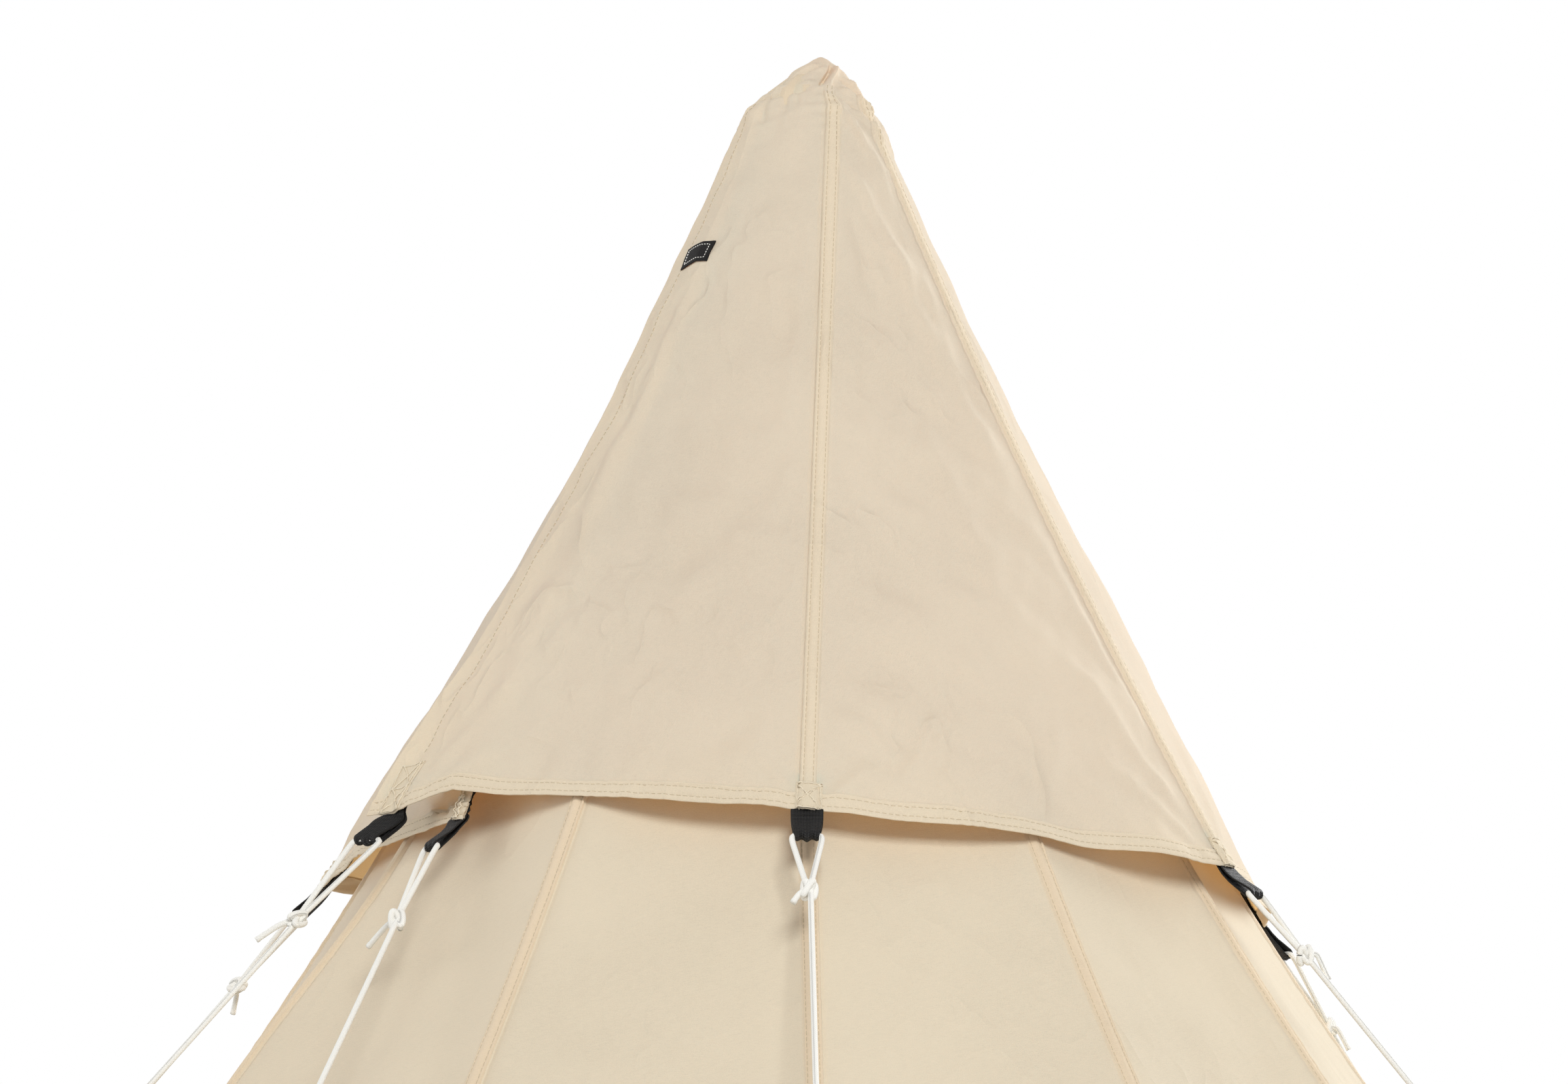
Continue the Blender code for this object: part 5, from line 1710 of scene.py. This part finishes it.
def build_runner(name):
    """The wooden runner of a guy line, with a bore for the line and one for its tail."""
    _, line, side, end = guy_axes(name)
    length, width, thick = RUNNER_SIZE
    outline = []
    for x, first in ((length / 2 - width / 2, -90), (-length / 2 + width / 2, 90)):
        for k in range(13):
            angle = math.radians(first + 15 * k)
            outline.append((x + width / 2 * math.cos(angle), width / 2 * math.sin(angle)))
    turn = np.linspace(0, 2 * np.pi, 25)[:-1]
    holes = [[(x * BIGHT_RADIUS + RUNNER_BORE * np.cos(a), RUNNER_BORE * np.sin(a)) for a in turn]
             for x in (-1, 1)]
    centre = end + side * BIGHT_RADIUS - line * RUNNER_REST
    across = np.cross(line, side)
    piece = bevelled("guy_runner_" + name, outline, holes, thick, 0.0011,
                     to_matrix(centre, side, across, line), WOOD, "runner_" + name)
    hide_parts("runner_" + name)


def build_base_band():
    """The webbing round the wall's foot, with a sewn loop for a peg at each seam."""
    high = WALL_FOOT + BAND_HEIGHT
    levels = np.linspace(WALL_FOOT, high, 9)
    corners = [SEAM_STEP * k for k in range(13)]
    line = []
    for a, b in zip(corners[:-1], corners[1:]):
        p0, p1 = (polar(x, BASE_RADIUS + BAND_GAP + BAND_THICK, 0.0) for x in (a, b))
        line += [p0 + (p1 - p0) * k / 24 for k in range(24)]
    line.append(line[0])
    line = np.array(line)
    run = run_along(line)
    inset = 0.0004 * np.abs(np.linspace(-1, 1, 9)) ** 6
    points = line[None] + levels[:, None, None] * UP
    points = points - unit(line)[None] * (inset[:, None] + 0.00025 * waves(points, 51, 0.05))[..., None]
    uv = uv_grid(levels[:, None], run[None])
    faces = facing_out(points, grid_faces(*points.shape[:2]))
    band = add_piece("base_band", points, faces, WEBBING, uv=uv, thick=0.0020)
    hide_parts("base_webbing")
    sewing = Sewing()
    for level in (1, 7):
        sewing.row(points[level], unit(points[level] * LEVEL), pitch=0.0075, length=0.0050)
    for k in range(12):
        azimuth = SEAM_STEP * k
        out, side = ray(azimuth), along(azimuth)
        centre = out * (BASE_RADIUS + BASE_LOOP_REACH - BASE_LOOP_EYE)
        size = BASE_LOOP_EYE + 0.0009
        arc = [centre + (side * math.cos(a) + out * math.sin(a)) * size for a in np.linspace(0, math.pi, 17)]
        root = out * (BASE_RADIUS + BAND_GAP + BAND_THICK + 0.0012)
        leg = ((0.020, 0.0), (0.006, 0.0006), (0.0030, 0.006))  # along the band, then away from it
        route = [root + side * x + out * y for x, y in leg] + arc
        route += [root - side * x + out * y for x, y in leg[::-1]]
        path, run = resample(rounded(route, 2), step=0.0016)
        tangent = unit(np.gradient(path, axis=0))
        outer = np.cross(tangent, UP)
        high_rows = np.linspace(WALL_FOOT + 0.0015, high - 0.0015, 8)
        strap = path[None] + high_rows[:, None, None] * UP
        strap = strap + outer[None] * 0.0002 * np.abs(np.sin(np.pi * run / 0.0032))[None, :, None]
        uv = uv_grid(high_rows[:, None], run[None])
        faces = grid_faces(*strap.shape[:2]).reshape(-1, 4)
        loop = add_piece(f"peg_loop_{azimuth:03d}", strap, faces, WEBBING, uv=uv, thick=0.0016)
        loop.modifiers["Thickness"].offset = 0
    sewing.piece("base_band_stitching", THREAD, "canvas")
    for k in range(12):
        azimuth = SEAM_STEP * k
        build_peg(f"wall_peg_{azimuth:03d}", f"base_peg_{azimuth:03d}", azimuth,
                  BASE_PEG_RADIUS, WALL_FOOT + 0.012)


def build_groundsheet():
    """A coated sheet with a welded border and the waves of having been folded."""
    rings = np.concatenate([np.linspace(0.036, 1.60, 44), [1.622, 1.624, 1.626, 1.654, 1.658, SHEET_RADIUS]])
    turns = np.linspace(0, 360, 145)
    corner = np.cos(np.radians(15)) / np.cos(np.radians((turns % SEAM_STEP) - 15))
    blend = smooth_step((rings - 0.2) / 0.8)[:, None]
    shape = 1 - blend + blend * corner[None]
    points = polar(turns[None] * np.ones_like(rings)[:, None], rings[:, None] * shape, 0.0)
    calm = smooth_step((SHEET_RADIUS - rings) / 0.05)[:, None] * smooth_step((rings[:, None] - 0.05) / 0.1)
    wave = 0.5 + 0.5 * waves(points, 61, 0.55)
    crease = np.maximum(bell(points[..., 0] - 0.55, 0.012), bell(points[..., 0] + 0.55, 0.012))
    crease = np.maximum(crease, bell(points[..., 1] - 0.1, 0.012))
    lift = 0.0016 + calm * (0.0040 * np.clip(wave, 0, 1.2) + 0.0022 * crease)
    lift += 0.0007 * smooth_step((rings - 1.6225) / 0.002)[:, None]
    points[..., 2] = lift
    faces = grid_faces(*points.shape[:2]).reshape(-1, 4)
    p = points.reshape(-1, 3)[faces]
    up = np.cross(p[:, 1] - p[:, 0], p[:, 3] - p[:, 0])[:, 2].sum() > 0
    faces = faces if up else faces[:, ::-1]
    uv = points[..., :2]
    sheet = add_piece("ground_cloth", points, faces, GROUND_CLOTH, uv=uv, thick=0.0011)
    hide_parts("groundsheet")
    return sheet


def finish_cad_nodes():
    """The pole's pieces keep their CAD shapes and get finished materials."""
    steel = {node: GALVANISED for node in ("pole_lower", "pole_middle", "pole_upper")}
    for node, material in {**steel, "pole_foot": RUBBER, "pole_crown": WOOD}.items():
        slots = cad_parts[node].data.materials
        slots.clear()
        slots.append(material)


def main():
    build_stage()
    for name in GUYS:
        build_guy(name)
        build_runner(name)
        build_peg("line_peg_" + name, "guy_peg_" + name, GUYS[name], GUY_PEG_RADIUS, GUY_PEG_HEIGHT)
    grid, cap = build_cap()
    for name in GUYS:
        build_loop(name, grid)
    for name, (low, high, half, seed, boxes) in BOX_STITCHES.items():
        box_stitches(grid, name, low, high, half, seed, boxes)
    build_label(grid)
    wall = build_wall()
    flaps = [build_flap("door_flap_front", -1), build_flap("door_flap_rear", 1)]
    build_door_gusset()
    build_slider()
    build_base_band()
    sheet = build_groundsheet()
    finish_cad_nodes()


main()
